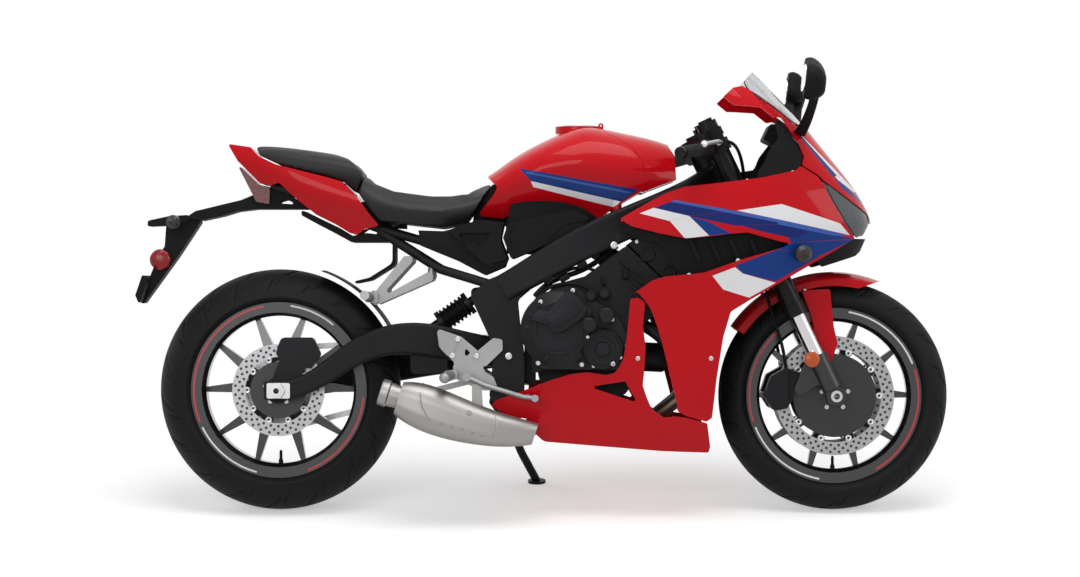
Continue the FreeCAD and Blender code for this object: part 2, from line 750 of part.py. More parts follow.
def engine_block():
    """The crankcase and cylinder block as one plain solid, with the sump below."""
    case = slab(
        [
            (660, 372, 6),
            (660, 520, 20),
            (720, 590, 20),
            (800, 612, 10),
            (905, 690, 4),
            (1035, 565, 4),
            (930, 470, 30),
            (948, 370, 10),
            (690, 370, 10),
            (664, 360, 10),
        ],
        -CRANKCASE_HALF,
        CRANKCASE_HALF,
    )
    pan = slab([(672, 372), (940, 372), (900, 300, 30), (690, 300, 20)], -122, 122)
    sump = slab([(720, 302, 6), (750, 256, 20), (880, 256, 20), (905, 302, 6)], -90, 90)
    boss = slab([(640, 330, 12), (640, 500, 12), (670, 500, 4), (670, 330, 4)], -100, 80)
    bay = slab([(600, 342), (600, 496), (734, 496), (734, 342)], CHAIN_OFFSET - 16, 300)
    low, high = CHAIN_OFFSET - 18, CHAIN_OFFSET + 3.4
    radius = pitch_radius(FRONT_TEETH) - 5.2
    shaft = rod(OUTPUT_SHAFT + ACROSS * low, OUTPUT_SHAFT + ACROSS * (high + 6), 14)
    sprocket = rod(OUTPUT_SHAFT + ACROSS * (CHAIN_OFFSET - 3.4), OUTPUT_SHAFT + ACROSS * high, radius)
    return joined([joined([case, pan, sump, boss]).cut(bay), shaft, sprocket])


@lru_cache(None)
def cylinder_head():
    """The head and its cam cover across the frame, with round core plugs on its sides."""
    cover = slab(
        [(908, 693.5, 4), (940, 716, 18), (1012, 700, 26), (1062, 640, 26), (1064, 590, 14), (1038.5, 568.5, 4)],
        -HEAD_HALF,
        HEAD_HALF,
    )
    plugs = []
    for x, z in ((957, 668), (1012, 620)):
        for side in (-1, 1):
            plugs.append(rod(Vector(x, side * (HEAD_HALF - 2), z), Vector(x, side * (HEAD_HALF + 6), z), 17))
    return joined([cover] + plugs)


def right_engine_cover():
    """The clutch cover, the smaller pulse cover ahead of it and the flange that carries both."""
    seam = -CRANKCASE_HALF - CASE_SEAM
    flange = slab(
        [
            (662, 374, 30),
            (664, 560, 30),
            (760, 590, 40),
            (880, 510, 40),
            (926, 420, 40),
            (888, 371, 30),
            (780, 371, 40),
        ],
        seam - 14,
        seam,
    )
    clutch = turned([(0, 10 - RIGHT_COVER), (70, 10 - RIGHT_COVER), (98, seam - 16), (98, seam - 4), (0, seam - 4)], Vector(728, 0, 474))
    ring = turned([(58, 4 - RIGHT_COVER), (64, 4 - RIGHT_COVER), (64, 14 - RIGHT_COVER), (58, 14 - RIGHT_COVER)], Vector(728, 0, 474))
    pulse = turned(
        [(0, 12 - RIGHT_COVER), (17, 12 - RIGHT_COVER), (17, 18 - RIGHT_COVER), (45, 18 - RIGHT_COVER), (54, seam - 18), (54, seam - 4), (0, seam - 4)],
        Vector(842, 0, 424),
    )
    bosses = []
    for x, z in ((676, 388), (682, 545), (765, 574), (866, 500), (905, 432), (868, 386), (788, 384)):
        bosses.append(rod(Vector(x, seam - 19, z), Vector(x, seam - 4, z), 9))
    return joined([flange, clutch, ring, pulse] + bosses)


def left_engine_cover():
    """The alternator cover and the sprocket cover behind it, open at the back where the chain runs out."""
    seam = CRANKCASE_HALF + CASE_SEAM
    flange = slab([(740, 371, 20), (740, 552, 40), (860, 548, 50), (922, 440, 50), (886, 371, 30)], seam, seam + 14)
    generator = turned([(0, LEFT_COVER - 8), (66, LEFT_COVER - 8), (84, seam + 26), (84, seam + 6), (0, seam + 6)], Vector(814, 0, 458))
    ring = turned([(34, LEFT_COVER - 10), (40, LEFT_COVER - 10), (40, LEFT_COVER), (34, LEFT_COVER)], Vector(814, 0, 458))
    bosses = []
    for x, z in ((752, 384), (752, 538), (852, 534), (904, 446), (868, 386)):
        bosses.append(rod(Vector(x, seam + 4, z), Vector(x, seam + 19, z), 9))
    cover = slab(
        [(642, 380, 16), (642, 468, 30), (668, 508, 20), (760, 508, 10), (760, 371, 10), (668, 368, 16)],
        seam,
        seam + 22,
    )
    return joined([flange, generator, ring, cover] + bosses)


HEADER_RADIUS = 17.0
LINK_RADIUS = 23.0
LINK_ROOM = 6.0
HANGER_GAP = 0.2
SILENCER_OFFSET = 192.0


def exhaust_link(radius):
    """The pipe from the collector out to the silencer."""
    return pipe([Vector(705, -58, 224), Vector(670, -80, 222), Vector(640, -130, 216), Vector(618, -176, 214)], radius, 60)


@lru_cache(None)
def exhaust_headers():
    """Four header pipes from the head, swept down together past the engine to the collector under it."""
    pieces = []
    for i, y in enumerate((-108, -42, 26, 92)):
        low = -58 + i * 37
        path = [
            Vector(1052, y, 604),
            Vector(1088, y, 566),
            Vector(1092, y - 14, 470),
            Vector(1052, (y + low) / 2, 300),
            Vector(960, low, 226),
            Vector(820, low, 218),
        ]
        pieces.append(pipe(path, HEADER_RADIUS, 60.0))
    box = loft(
        [
            bar_section(Vector(850, -3, 220), Vector(-1, 0, 0), Vector(0, 0, 1), 156, 40, 18),
            bar_section(Vector(760, -20, 224), Vector(-1, 0, 0), Vector(0, 0, 1), 110, 48, 22),
            bar_section(Vector(700, -60, 224), Vector(-1, -0.4, 0), Vector(0, 0, 1), 64, 50, 22),
        ]
    )
    return joined(pieces + [box, exhaust_link(LINK_RADIUS)]).cut(silencer()).cut(cylinder_head())


@lru_cache(None)
def silencer():
    """The short silencer beside the swingarm: a tapering can with its slanted tail and outlet."""
    y = -SILENCER_OFFSET
    sections = []
    for x, z, width, height in ((668, 206, 60, 56), (600, 212, 108, 80), (500, 234, 128, 104), (400, 268, 126, 118), (318, 298, 96, 86)):
        tilt = Vector(-1, 0, 0.32)
        sections.append(bar_section(Vector(x, y, z), tilt, Vector(0, 0, 1), width, height, min(width, height) * 0.38))
    can = loft(sections)
    tail = rod(Vector(330, y, 296), Vector(276, y, 313), 30)
    whole = joined([can, tail])
    mouth = rod(Vector(345, y, 291), Vector(260, y, 318), 26)
    face = PLATE_INNER + PLATE_THICKNESS + 12 + HANGER_GAP
    lug = slab([(505, 250, 8), (505, 334, 8), (530, 334, 8), (535, 250, 8)], -face - 6, -face)
    return joined([whole.cut(mouth), lug])


RADIATOR_HALF = 182.0


def radiator():
    """The core between its side tanks, leaning with the fork."""
    outline = [(1112, 372, 3), (1140, 372, 3), (1122, 690, 3), (1094, 690, 3)]
    core = slab([(1116, 392), (1137, 392), (1121, 672), (1098, 672)], -158, 158)
    tanks = [slab(outline, 158, RADIATOR_HALF), slab(outline, -RADIATOR_HALF, -158)]
    frame = [
        slab([(1112, 372), (1140, 372), (1139, 392), (1111, 392)], -160, 160),
        slab([(1095, 672), (1123, 672), (1122, 690), (1094, 690)], -160, 160),
    ]
    return joined([core] + tanks + frame)


# Fork and steering


def steering_plate(points, up, thickness, radius):
    """A plate square to the steering axis, from (ahead, side) points."""
    face = Part.Face(rounded_wire(points, lambda p: steered(up - thickness / 2, p[1], p[0]), radius))
    return face.extrude(AXIS_UP * thickness)


def yoke(up, thickness, stem_boss):
    reach = FORK_SPACING + 40
    plan = [
        (-stem_boss, 34, 30),
        (FORK_OFFSET - 36, reach - 6, 26),
        (FORK_OFFSET + 36, reach - 6, 26),
        (FORK_OFFSET + 20, 40, 30),
        (FORK_OFFSET + 20, -40, 30),
        (FORK_OFFSET + 36, 6 - reach, 26),
        (FORK_OFFSET - 36, 6 - reach, 26),
        (-stem_boss, -34, 30),
    ]
    plate = steering_plate(plan, up, thickness, 20)
    bores = [
        rod(steered(up - 60, side, FORK_OFFSET), steered(up + 60, side, FORK_OFFSET), FORK_OUTER_RADIUS + HEAD_GAP)
        for side in (-FORK_SPACING, FORK_SPACING)
    ]
    return plate.cut(Part.makeCompound(bores))


def lower_yoke():
    """The lower clamp with the hollow steering stem that stands in the head tube."""
    stem = rod(steered(LOWER_YOKE_HEIGHT - 10), steered(UPPER_YOKE_HEIGHT + 6), STEM_RADIUS)
    whole = joined([yoke(LOWER_YOKE_HEIGHT, LOWER_YOKE_THICKNESS, 34), stem])
    return whole.cut(rod(steered(LOWER_YOKE_HEIGHT - 40), steered(UPPER_YOKE_HEIGHT + 40), STEM_BORE))


def upper_yoke():
    """The top clamp with the stem nut on it."""
    top = UPPER_YOKE_HEIGHT + UPPER_YOKE_THICKNESS / 2
    plate = joined([yoke(UPPER_YOKE_HEIGHT, UPPER_YOKE_THICKNESS, 38), rod(steered(top - 4), steered(top + 9), 21)])
    plate = plate.cut(rod(steered(UPPER_YOKE_HEIGHT - 40), steered(UPPER_YOKE_HEIGHT + 40), STEM_RADIUS + AXLE_GAP))
    return plate


OUTER_FROM = 232.0
OUTER_TO = 786.0


def fork_outers():
    """The black upper tubes with their lower collars and top caps."""
    leg = lambda u: steered(u, -FORK_SPACING, FORK_OFFSET)
    tube = rod(leg(OUTER_FROM), leg(OUTER_TO), FORK_OUTER_RADIUS)
    collar = rod(leg(OUTER_FROM), leg(OUTER_FROM + 34), FORK_COLLAR_RADIUS)
    cap = rod(leg(OUTER_TO - 2), leg(OUTER_TO + 8), 19)
    whole = joined([tube, collar, cap])
    return both_sides(whole.cut(rod(leg(OUTER_FROM - 5), leg(LOWER_YOKE_HEIGHT), STANCHION_RADIUS + AXLE_GAP)))


@lru_cache(None)
def fork_inners():
    """The chrome sliders and the forged feet that hold the spindle and the calipers."""
    leg = lambda u: steered(u, -FORK_SPACING, FORK_OFFSET)
    tube = rod(leg(60), leg(LOWER_YOKE_HEIGHT - 20), STANCHION_RADIUS)
    foot = rod(leg(22), leg(118), FOOT_RADIUS)
    inner = -CLAMP_INNER
    clamp = rod(FRONT_AXLE + ACROSS * inner, FRONT_AXLE + ACROSS * (inner - 44), 25)
    web = slab(
        [(1432, 318, 8), (1400, 330, 10), (1352, 300, 10), (1340, 318, 8), (1362, 372, 10), (1376, 396, 8), (1412, 392, 6)],
        inner - 34,
        inner - 20,
    )
    face = -(FORK_SPACING + FOOT_RADIUS)
    reflector = rod(Vector(1384, face + 30, 396), Vector(1384, face - 8, 396), 20)
    whole = tube.fuse([foot, clamp, web, reflector])
    whole = whole.cut(rod(FRONT_AXLE - ACROSS * 200, FRONT_AXLE + ACROSS * 200, FRONT_AXLE_RADIUS + AXLE_GAP))
    return both_sides(whole)


def front_axle():
    """The hollow front spindle with its flanged ends."""
    end = FORK_SPACING + 22
    shaft = rod(FRONT_AXLE - ACROSS * end, FRONT_AXLE + ACROSS * end, FRONT_AXLE_RADIUS)
    pieces = [shaft]
    for side in (-1, 1):
        pieces.append(rod(FRONT_AXLE + ACROSS * side * (end - 4 + HEAD_GAP), FRONT_AXLE + ACROSS * side * (end + 4), 15))
    whole = joined(pieces)
    return whole.cut(rod(FRONT_AXLE - ACROSS * 200, FRONT_AXLE + ACROSS * 200, FRONT_AXLE_BORE))


def front_calipers():
    """Radial calipers astride each disc, bolted to the feet."""
    gap = 2.0
    low, high = -FRONT_DISC_OFFSET - 42, -FRONT_DISC_OFFSET + 22
    body = slab([(1262, 300, 10), (1286, 262, 12), (1322, 268, 10), (1352, 316, 10), (1352, 362, 10), (1320, 374, 12), (1280, 352, 10)], low, high)
    slot = slab(
        [(1240, 240), (1240, 390), (1370, 390), (1370, 240)],
        -FRONT_DISC_OFFSET - DISC_THICKNESS / 2 - gap,
        -FRONT_DISC_OFFSET + DISC_THICKNESS / 2 + gap,
    )
    bridge = slab([(1240, 240), (1240, 390), (1272, 390), (1290, 240)], -400, 400)
    body = body.cut(slot.cut(bridge))
    inner = -CLAMP_INNER
    seat = slab(
        [(1325, 290), (1440, 290), (1440, 420), (1325, 420)],
        inner - 34 - HEAD_GAP,
        inner - 20 + HEAD_GAP,
    )
    rim_room = turned([(0, low - 1), (110, low - 1), (110, high + 1), (0, high + 1)], FRONT_AXLE)
    spokes = turned([(0, -61), (300, -61), (300, 0), (0, 0)], FRONT_AXLE)
    disc_room = turned(
        [(0, -FRONT_DISC_OFFSET - 5), (FRONT_DISC_RADIUS + 3, -FRONT_DISC_OFFSET - 5), (FRONT_DISC_RADIUS + 3, -FRONT_DISC_OFFSET + 5), (0, -FRONT_DISC_OFFSET + 5)],
        FRONT_AXLE,
    )
    return both_sides(body.cut(Part.makeCompound([seat])).cut(rim_room).cut(disc_room).cut(spokes))


FENDER_INNER = 316.0
FENDER_WALL = 3.5
FENDER_HALF = 73.0


def front_fender():
    """The front mudguard: a crowned shell round the tyre, and a stay down each side to the fork foot."""
    outer = [
        (FENDER_INNER - 30, FENDER_HALF),
        (FENDER_INNER - 6, FENDER_HALF - 2, 10),
        (FENDER_INNER + FENDER_WALL, 38, 20),
        (FENDER_INNER + FENDER_WALL + 4, 0, 60),
        (FENDER_INNER + FENDER_WALL, -38, 20),
        (FENDER_INNER - 6, 2 - FENDER_HALF, 10),
        (FENDER_INNER - 30, -FENDER_HALF),
    ]
    w = FENDER_WALL
    inner = [
        (FENDER_INNER - 30, w - FENDER_HALF),
        (FENDER_INNER - 8, w + 2 - FENDER_HALF, 8),
        (FENDER_INNER, -36, 20),
        (FENDER_INNER + 3, 0, 60),
        (FENDER_INNER, 36, 20),
        (FENDER_INNER - 8, FENDER_HALF - w - 2, 8),
        (FENDER_INNER - 30, FENDER_HALF - w),
    ]
    arch = turned(outer + inner, FRONT_AXLE, 0, 80, 66)
    shape = slab([(1590, 600, 10), (1560, 596, 20), (1470, 566, 30), (1380, 556, 30), (1320, 560, 20), (1270, 500, 10), (1240, 450, 10),
                  (1140, 440, 10), (1120, 700, 10), (1620, 700, 10)], -100, 100)
    arch = arch.common(shape)
    inner_face = -CLAMP_INNER
    stay = slab(
        [(1362, 575, 6), (1436, 578, 6), (1446, 480, 14), (1456, 436, 10), (1440, 388, 8), (1396, 392, 6), (1404, 430, 14), (1388, 506, 14)],
        -FENDER_HALF - 3.5,
        -FENDER_HALF + 0.5,
    )
    boss = rod(Vector(1408, 2 - FENDER_HALF, 402), Vector(1408, inner_face - 10, 402), 8)
    side = joined([stay, boss]).cut(fork_inners())
    return joined([arch, side, mirrored(side)])


BAR_HEIGHT = 716.0
BAR_RADIUS = 11.0
GRIP_RADIUS = 16.5
BAR_DIRECTION = Vector(-0.395, -0.905, -0.09)


def bar_point(along):
    """A point on the right bar, by its distance from the fork leg's centre."""
    return steered(BAR_HEIGHT, -FORK_SPACING, FORK_OFFSET) + BAR_DIRECTION * along


def handlebars():
    """The clip-on bars: a clamp round each fork tube, the bar and its end weight."""
    leg = lambda u: steered(u, -FORK_SPACING, FORK_OFFSET)
    ring = rod(leg(BAR_HEIGHT - 16), leg(BAR_HEIGHT + 16), FORK_OUTER_RADIUS + 8)
    tube = rod(bar_point(20), bar_point(262), BAR_RADIUS)
    weight = rod(bar_point(255), bar_point(272), 15)
    whole = joined([ring, tube, weight])
    bore = rod(leg(BAR_HEIGHT - 60), leg(BAR_HEIGHT + 60), FORK_OUTER_RADIUS + HEAD_GAP)
    return both_sides(whole.cut(bore))


def grips():
    """The rubber grips over the bars, with their inner flanges."""
    sleeve = rod(bar_point(134), bar_point(254.5), GRIP_RADIUS)
    flange = rod(bar_point(134), bar_point(138), GRIP_RADIUS + 4)
    whole = joined([sleeve, flange])
    return both_sides(whole.cut(rod(bar_point(100), bar_point(300), BAR_RADIUS + AXLE_GAP)))


@lru_cache(None)
def hand_controls():
    """Each side's switch box and lever perch. The right perch carries the front brake's reservoir."""
    box = loft(
        [
            bar_section(bar_point(84), BAR_DIRECTION, AXIS_UP, 44, 46, 12),
            bar_section(bar_point(133.5), BAR_DIRECTION, AXIS_UP, 40, 44, 12),
        ]
    )
    perch = bar_point(66)
    forward = AXIS_FORWARD
    clamp = rod(bar_point(54), bar_point(86), 18)
    arm_piece = rod(perch, perch + forward * 34, 11)
    pivot = perch + forward * 38 - ACROSS * 8
    knuckle = rod(pivot - AXIS_UP * 11, pivot + AXIS_UP * 11, 10)
    body = box.fuse([clamp, arm_piece, knuckle])
    left = mirrored(body)
    reservoir_base = perch + forward * 30 + AXIS_UP * 8
    cup = rod(reservoir_base, reservoir_base + AXIS_UP * 34, 20)
    cylinder = rod(perch + forward * 26 - ACROSS * 24, perch + forward * 28 + ACROSS * 14, 11)
    right = body.fuse([cup, cylinder])
    bore = rod(bar_point(20), bar_point(300), BAR_RADIUS + AXLE_GAP)
    return Part.makeCompound([right.cut(bore), left.cut(mirrored(bore))])


def hand_levers():
    """The brake and clutch levers, pivoted ahead of the bars, each with its ball end."""
    start = bar_point(66) + AXIS_FORWARD * 38 - ACROSS * 8
    low = start - AXIS_UP * 1
    path = [low + BAR_DIRECTION * 14, low + BAR_DIRECTION * 60 + AXIS_FORWARD * 14, low + BAR_DIRECTION * 150 + AXIS_FORWARD * 8]
    blade = pipe(path, 5.5, 60)
    ball = Part.makeSphere(9, path[-1])
    root = rod(start + BAR_DIRECTION * 10.5, low + BAR_DIRECTION * 24, 6.5)
    lever = joined([blade, ball, root])
    return both_sides(lever).cut(hand_controls())


# Fairing

FAIRING_REAR = 480.0
FAIRING_START = 1090.0
# Height, half width and nose position of the fairing's plan sections
FAIRING_SECTIONS = (
    (1130, 128, 1260),
    (1060, 172, 1325),
    (1000, 188, 1378),
    (930, 204, 1434),
    (860, 218, 1490),
    (790, 228, 1534),
    (745, 231, 1548),
    (690, 230, 1530),
    (600, 222, 1500),
    (480, 206, 1470),
    (360, 190, 1440),
    (250, 168, 1410),
    (170, 132, 1380),
    (140, 110, 1370),
)
NOSE_POWER = 2.4


def plan_section(height, half, nose, inset):
    """One plan-view section of the fairing: straight sides that close in a superellipse at the nose."""
    points = [(FAIRING_REAR, half * 0.80 - inset), (FAIRING_REAR + 300, half * 0.93 - inset)]
    reach = nose - inset - FAIRING_START
    for step in (0, 0.28, 0.52, 0.73, 0.89, 0.975):
        x = FAIRING_START + reach * step
        y = (half - inset) * (1 - step**NOSE_POWER) ** (1 / NOSE_POWER)
        points.append((x, y))
    places = [Vector(x, -y, height) for x, y in points]
    places.append(Vector(nose - inset, 0, height))
    places += [Vector(x, y, height) for x, y in reversed(points)]
    return Part.Wire([curve(places), Part.makeLine(places[-1], places[0])])


@lru_cache(None)
def fairing(inset):
    """The whole fairing as a solid, drawn in from its outside by an inset."""
    return loft([plan_section(*row, inset) for row in FAIRING_SECTIONS])


def fairing_panel(outline, inset=0.0, thickness=PANEL, near=3.0):
    """The right half of a panel: the fairing's skin inside a side-view outline."""
    return slab(outline, -420, -near).common(fairing(inset)).cut(fairing(inset + thickness))


SIDE_OUTLINE = [
    (888, 760, 6),
    (952, 797, 20),
    (1000, 822, 30),
    (1050, 840, 30),
    (1130, 849, 60),
    (1250, 864, 60),
    (1340, 884, 10),
    (1352, 896, 8),
    (1398, 868, 6),
    (1412, 848, 10),
    (1432, 808, 60),
    (1465, 752, 60),
    (1497, 709, 4),
    (1400, 654, 20),
    (1290, 591, 20),
    (1217, 549, 20),
    (1170, 520, 12),
    (1151, 455, 40),
    (1143, 402, 60),
    (1135, 350, 60),
    (1124, 246, 6),
    (1110, 236, 6),
    (1060, 250, 10),
    (1036, 262, 10),
    (1032, 288, 20),
    (1012, 368, 60),
    (992, 448, 60),
    (976, 498, 40),
    (966, 524, 20),
    (952, 546, 10),
    (930, 571, 4),
    (916, 563, 3),
    (896, 640, 0),
]
SIDE_WINDOW = [
    (892, 753, 3),
    (915, 739, 10),
    (985, 721, 40),
    (1052, 708, 60),
    (1115, 713, 60),
    (1170, 720, 60),
    (1212, 723, 30),
    (1300, 699, 10),
    (1324, 695, 3),
    (1304, 685, 10),
    (1200, 655, 40),
    (1100, 620, 40),
    (1000, 610, 40),
    (968, 600, 20),
    (930, 573, 10),
    (916, 562, 0),
    (880, 540, 0),
    (840, 700, 0),
]


@lru_cache(None)
def side_cowl():
    """The right middle fairing: from the tank round its large vent and down the front wheel's edge."""
    return fairing_panel(SIDE_OUTLINE).cut(slab(SIDE_WINDOW, -420, 0))


def side_cowl_right():
    return side_cowl()


def side_cowl_left():
    return mirrored(side_cowl())


INNER_INSET = 26.0


def inner_cowls():
    """The black inner panels behind the side vents, stepped in from the skin, and the chin panel."""
    sheet = fairing_panel(
        [
            (900, 758, 6),
            (1000, 760, 10),
            (1120, 770, 10),
            (1240, 740, 10),
            (1310, 706, 6),
            (1306, 676, 6),
            (1200, 640, 20),
            (1110, 604, 20),
            (1100, 560, 20),
            (1040, 590, 20),
            (1020, 660, 20),
            (980, 700, 20),
            (930, 706, 10),
            (896, 730, 6),
        ],
        INNER_INSET,
    )
    ribs = []
    for i in range(4):
        x = 1060 + i * 52
        ribs.append(fairing_panel([(x, 704, 2), (x + 10, 706, 2), (x + 34, 652, 2), (x + 24, 648, 2)], INNER_INSET - 12, 14))
    lugs = [
        fairing_panel([(1000, 744, 2), (1016, 744, 2), (1016, 756, 2), (1000, 756, 2)], PANEL, INNER_INSET - PANEL + 1),
        fairing_panel([(1270, 716, 2), (1282, 714, 2), (1282, 726, 2), (1270, 726, 2)], PANEL, INNER_INSET - PANEL + 1),
    ]
    posts = [rod(Vector(1112, -212, 650), Vector(1112, -RADIATOR_HALF - HEAD_GAP, 650), 8).common(fairing(INNER_INSET + 1))]
    return Part.makeCompound([both_sides(joined([sheet] + ribs + lugs + posts)), chin_panel()])


LOWER_OUTLINE = [
    (555, 276, 4),
    (566, 291, 8),
    (640, 317, 20),
    (710, 344, 30),
    (760, 359, 30),
    (802, 364, 30),
    (850, 357, 20),
    (872, 362, 14),
    (886, 380, 20),
    (896, 402, 20),
    (903, 450, 40),
    (908, 502, 40),
    (912, 553, 4),
    (932, 556, 4),
    (950, 543, 8),
    (945, 482, 20),
    (952, 430, 20),
    (948, 360, 20),
    (945, 330, 20),
    (955, 300, 20),
    (968, 270, 14),
    (1000, 247, 10),
    (1030, 250, 14),
    (1060, 246, 10),
    (1112, 232, 6),
    (1121, 170, 4),
    (1117, 154, 4),
    (1000, 158, 20),
    (850, 170, 40),
    (690, 183, 30),
    (650, 222, 30),
]
LOWER_WINDOW = [(808, 326, 4), (900, 341, 4), (930, 286, 4)]


def lower_cowl():
    """The belly fairing: a blade down each side joined under the engine by a floor."""
    side = fairing_panel(LOWER_OUTLINE)
    side = side.cut(slab(LOWER_WINDOW, -420, 0))
    floor_plate = slab([(692, 185, 1), (850, 172, 10), (1000, 161, 10), (1112, 157, 1), (1112, 161, 1), (1000, 165, 1), (850, 176, 1), (694, 189, 1)], -140, 140)
    floor_plate = floor_plate.common(fairing(1.0))
    posts = []
    for x, z, seat in ((926, 422, CRANKCASE_HALF), (620, 292, PLATE_INNER + PLATE_THICKNESS)):
        post = rod(Vector(x, -210, z), Vector(x, -seat - HEAD_GAP, z), 7)
        posts.append(post.common(fairing(1.0)))
    right = joined([side] + posts).cut(exhaust_link(LINK_RADIUS + LINK_ROOM))
    left = mirrored(right).cut(slab([(500, 100), (500, 400), (650, 400), (650, 100)], 20, 300))
    return joined([right, left, floor_plate])


UPPER_OUTLINE = [
    (1153, 1074, 3),
    (1180, 1099, 6),
    (1205, 1104, 6),
    (1250, 1077, 20),
    (1300, 1042, 30),
    (1356, 1000, 10),
    (1385, 990, 3),
    (1560, 860, 0),
    (1570, 740, 0),
    (1540, 752, 3),
    (1536, 772, 6),
    (1465, 822, 10),
    (1414, 857, 4),
    (1401, 871, 4),
    (1356, 898, 6),
    (1363, 920, 10),
    (1350, 951, 40),
    (1320, 1000, 20),
    (1302, 1024, 12),
    (1285, 1020, 8),
    (1252, 1047, 12),
    (1205, 1051, 20),
    (1180, 1052, 10),
]


@lru_cache(None)
def upper_cowl():
    """The nose: the beak between the headlights, the cheeks, and the wings that carry the mirrors and screen."""
    right = fairing_panel(UPPER_OUTLINE, 0.0, PANEL, 0.0)
    return joined([right, mirrored(right)])


HEADLIGHT_OUTLINE = [
    (1418, 851.5, 3),
    (1466, 816.5, 10),
    (1532, 771, 3),
    (1536, 749, 3),
    (1512, 716, 8),
    (1501, 711, 3),
    (1469, 755, 60),
    (1436, 811, 60),
]
LAMP_HOUSING = [
    (1404, 858, 3),
    (1466, 828, 10),
    (1536, 780, 3),
    (1538, 746, 3),
    (1520, 716, 4),
    (1488, 716, 3),
    (1460, 752, 60),
    (1426, 808, 60),
]
LENS_STEP = 1.5


def headlights():
    """Two lamps behind one lens each, that meet under the beak, with their shared housing behind."""
    lens = fairing_panel(HEADLIGHT_OUTLINE, LENS_STEP, 8, 2.0)
    housing = fairing_panel(LAMP_HOUSING, PANEL + HEAD_GAP, 34, 2.0)
    return both_sides(joined([lens, housing]))


def chin_panel():
    """The black duct panel under the lamps, between the two side cowls."""
    outline = [(1480, 708.5, 2), (1532, 708.5, 3), (1534, 690, 4), (1502, 664, 20), (1404, 634, 10), (1392, 656, 8)]
    shape = fairing_panel(outline, PANEL + HEAD_GAP, PANEL, 0.0)
    return joined([shape, mirrored(shape)])


def windscreen():
    """The clear screen: a curved sheet lofted through arches, each wider than it is high."""
    arches = []
    for x, z, side_x, half, side_z in (
        (1384, 986, 1342, 148, 1006),
        (1345, 1034, 1305, 148, 1034),
        (1296, 1088, 1254, 140, 1071),
        (1262, 1124, 1222, 124, 1096),
        (1238, 1147, 1213, 100, 1120),
    ):
        points = [
            Vector(side_x, -half, side_z),
            Vector(side_x + (x - side_x) * 0.72, -half * 0.6, side_z + (z - side_z) * 0.74),
            Vector(x, 0, z),
            Vector(side_x + (x - side_x) * 0.72, half * 0.6, side_z + (z - side_z) * 0.74),
            Vector(side_x, half, side_z),
        ]
        arches.append(Part.Wire([curve(points)]))
    sheet = Part.makeLoft(arches, False, False)
    return sheet.Faces[0].extrude(Vector(-0.62, 0, -0.78) * SCREEN_THICKNESS).cut(upper_cowl())


def cockpit_panel():
    """The black inner fairing round the instrument, its stay to the steering head, and the meter."""
    cheeks = fairing_panel(
        [
            (1288, 1012, 4),
            (1302, 1016, 4),
            (1320, 992, 10),
            (1347, 950, 20),
            (1358, 918, 10),
            (1350, 890, 8),
            (1300, 872, 20),
            (1236, 862, 10),
            (1244, 885, 14),
            (1258, 905, 14),
            (1268, 930, 14),
            (1296, 968, 8),
        ],
        PANEL + HEAD_GAP,
        PANEL,
    )
    shelf = slab([(1262, 880, 4), (1342, 910, 4), (1344, 904, 4), (1264, 874, 4)], -230, 230)
    shelf = shelf.common(fairing(PANEL + 1.0))
    meter = slab([(1262, 968, 6), (1282, 1010, 8), (1316, 1000, 8), (1300, 950, 8)], -72, 72)
    stay = slab([(1290, 968, 4), (1302, 968, 4), (1312, 888, 4), (1300, 884, 4)], -20, 20)
    head = slab([(1130, 872, 6), (1300, 900, 6), (1304, 884, 6), (1136, 850, 6)], -14, 14)
    head = head.cut(rod(steered(400), steered(800), HEAD_TUBE_RADIUS))
    return joined([cheeks, mirrored(cheeks), shelf, meter, stay, head])


def mirrors():
    """Oval mirror heads on stalks from the nose."""
    head = loft(
        [
            bar_section(Vector(1402, -316, 1100), Vector(-1, 0, 0.1), Vector(0, -0.3, 1), 70, 34, 15),
            bar_section(Vector(1388, -314, 1106), Vector(-1, 0, 0.1), Vector(0, -0.3, 1), 128, 74, 30),
            bar_section(Vector(1360, -310, 1112), Vector(-1, 0, 0.1), Vector(0, -0.3, 1), 138, 92, 34),
            bar_section(Vector(1350, -310, 1113), Vector(-1, 0, 0.1), Vector(0, -0.3, 1), 130, 84, 32),
        ]
    )
    base = fairing_point(1352, 985)
    stalk = loft(
        [
            bar_section(base + Vector(0, 4, -6), Vector(0.1, -0.45, 0.88), Vector(1, 0, 0), 16, 34, 7),
            bar_section(Vector(1374, -232, 1040), Vector(0.1, -0.6, 0.7), Vector(1, 0, 0), 14, 24, 6),
            bar_section(Vector(1384, -290, 1092), Vector(0.1, -0.7, 0.6), Vector(1, 0, 0), 16, 22, 6),
        ]
    )
    whole = joined([head, stalk]).cut(fairing(0.0))
    return both_sides(max(whole.Solids, key=lambda s: s.Volume))


def fairing_point(x, z, inset=0.0):
    """Where the fairing's right skin lies at a side-view point."""
    line = Part.makeLine(Vector(x, -420, z), Vector(x, 0, z))
    hit = line.common(fairing(inset))
    return Vector(x, hit.BoundBox.YMin, z)


def turned_along(base, axis, profile):
    """A turned piece along an axis, from (radius, height) points."""
    axis = Vector(axis).normalize()
    out = axis.cross(Vector(0.1, 0, 1) if abs(axis.z) < 0.9 else ACROSS).normalize()
    face = Part.Face(rounded_wire(profile, lambda p: base + out * p[0] + axis * p[1]))
    return face.revolve(base, axis, 360)


# Tank, seats and tail


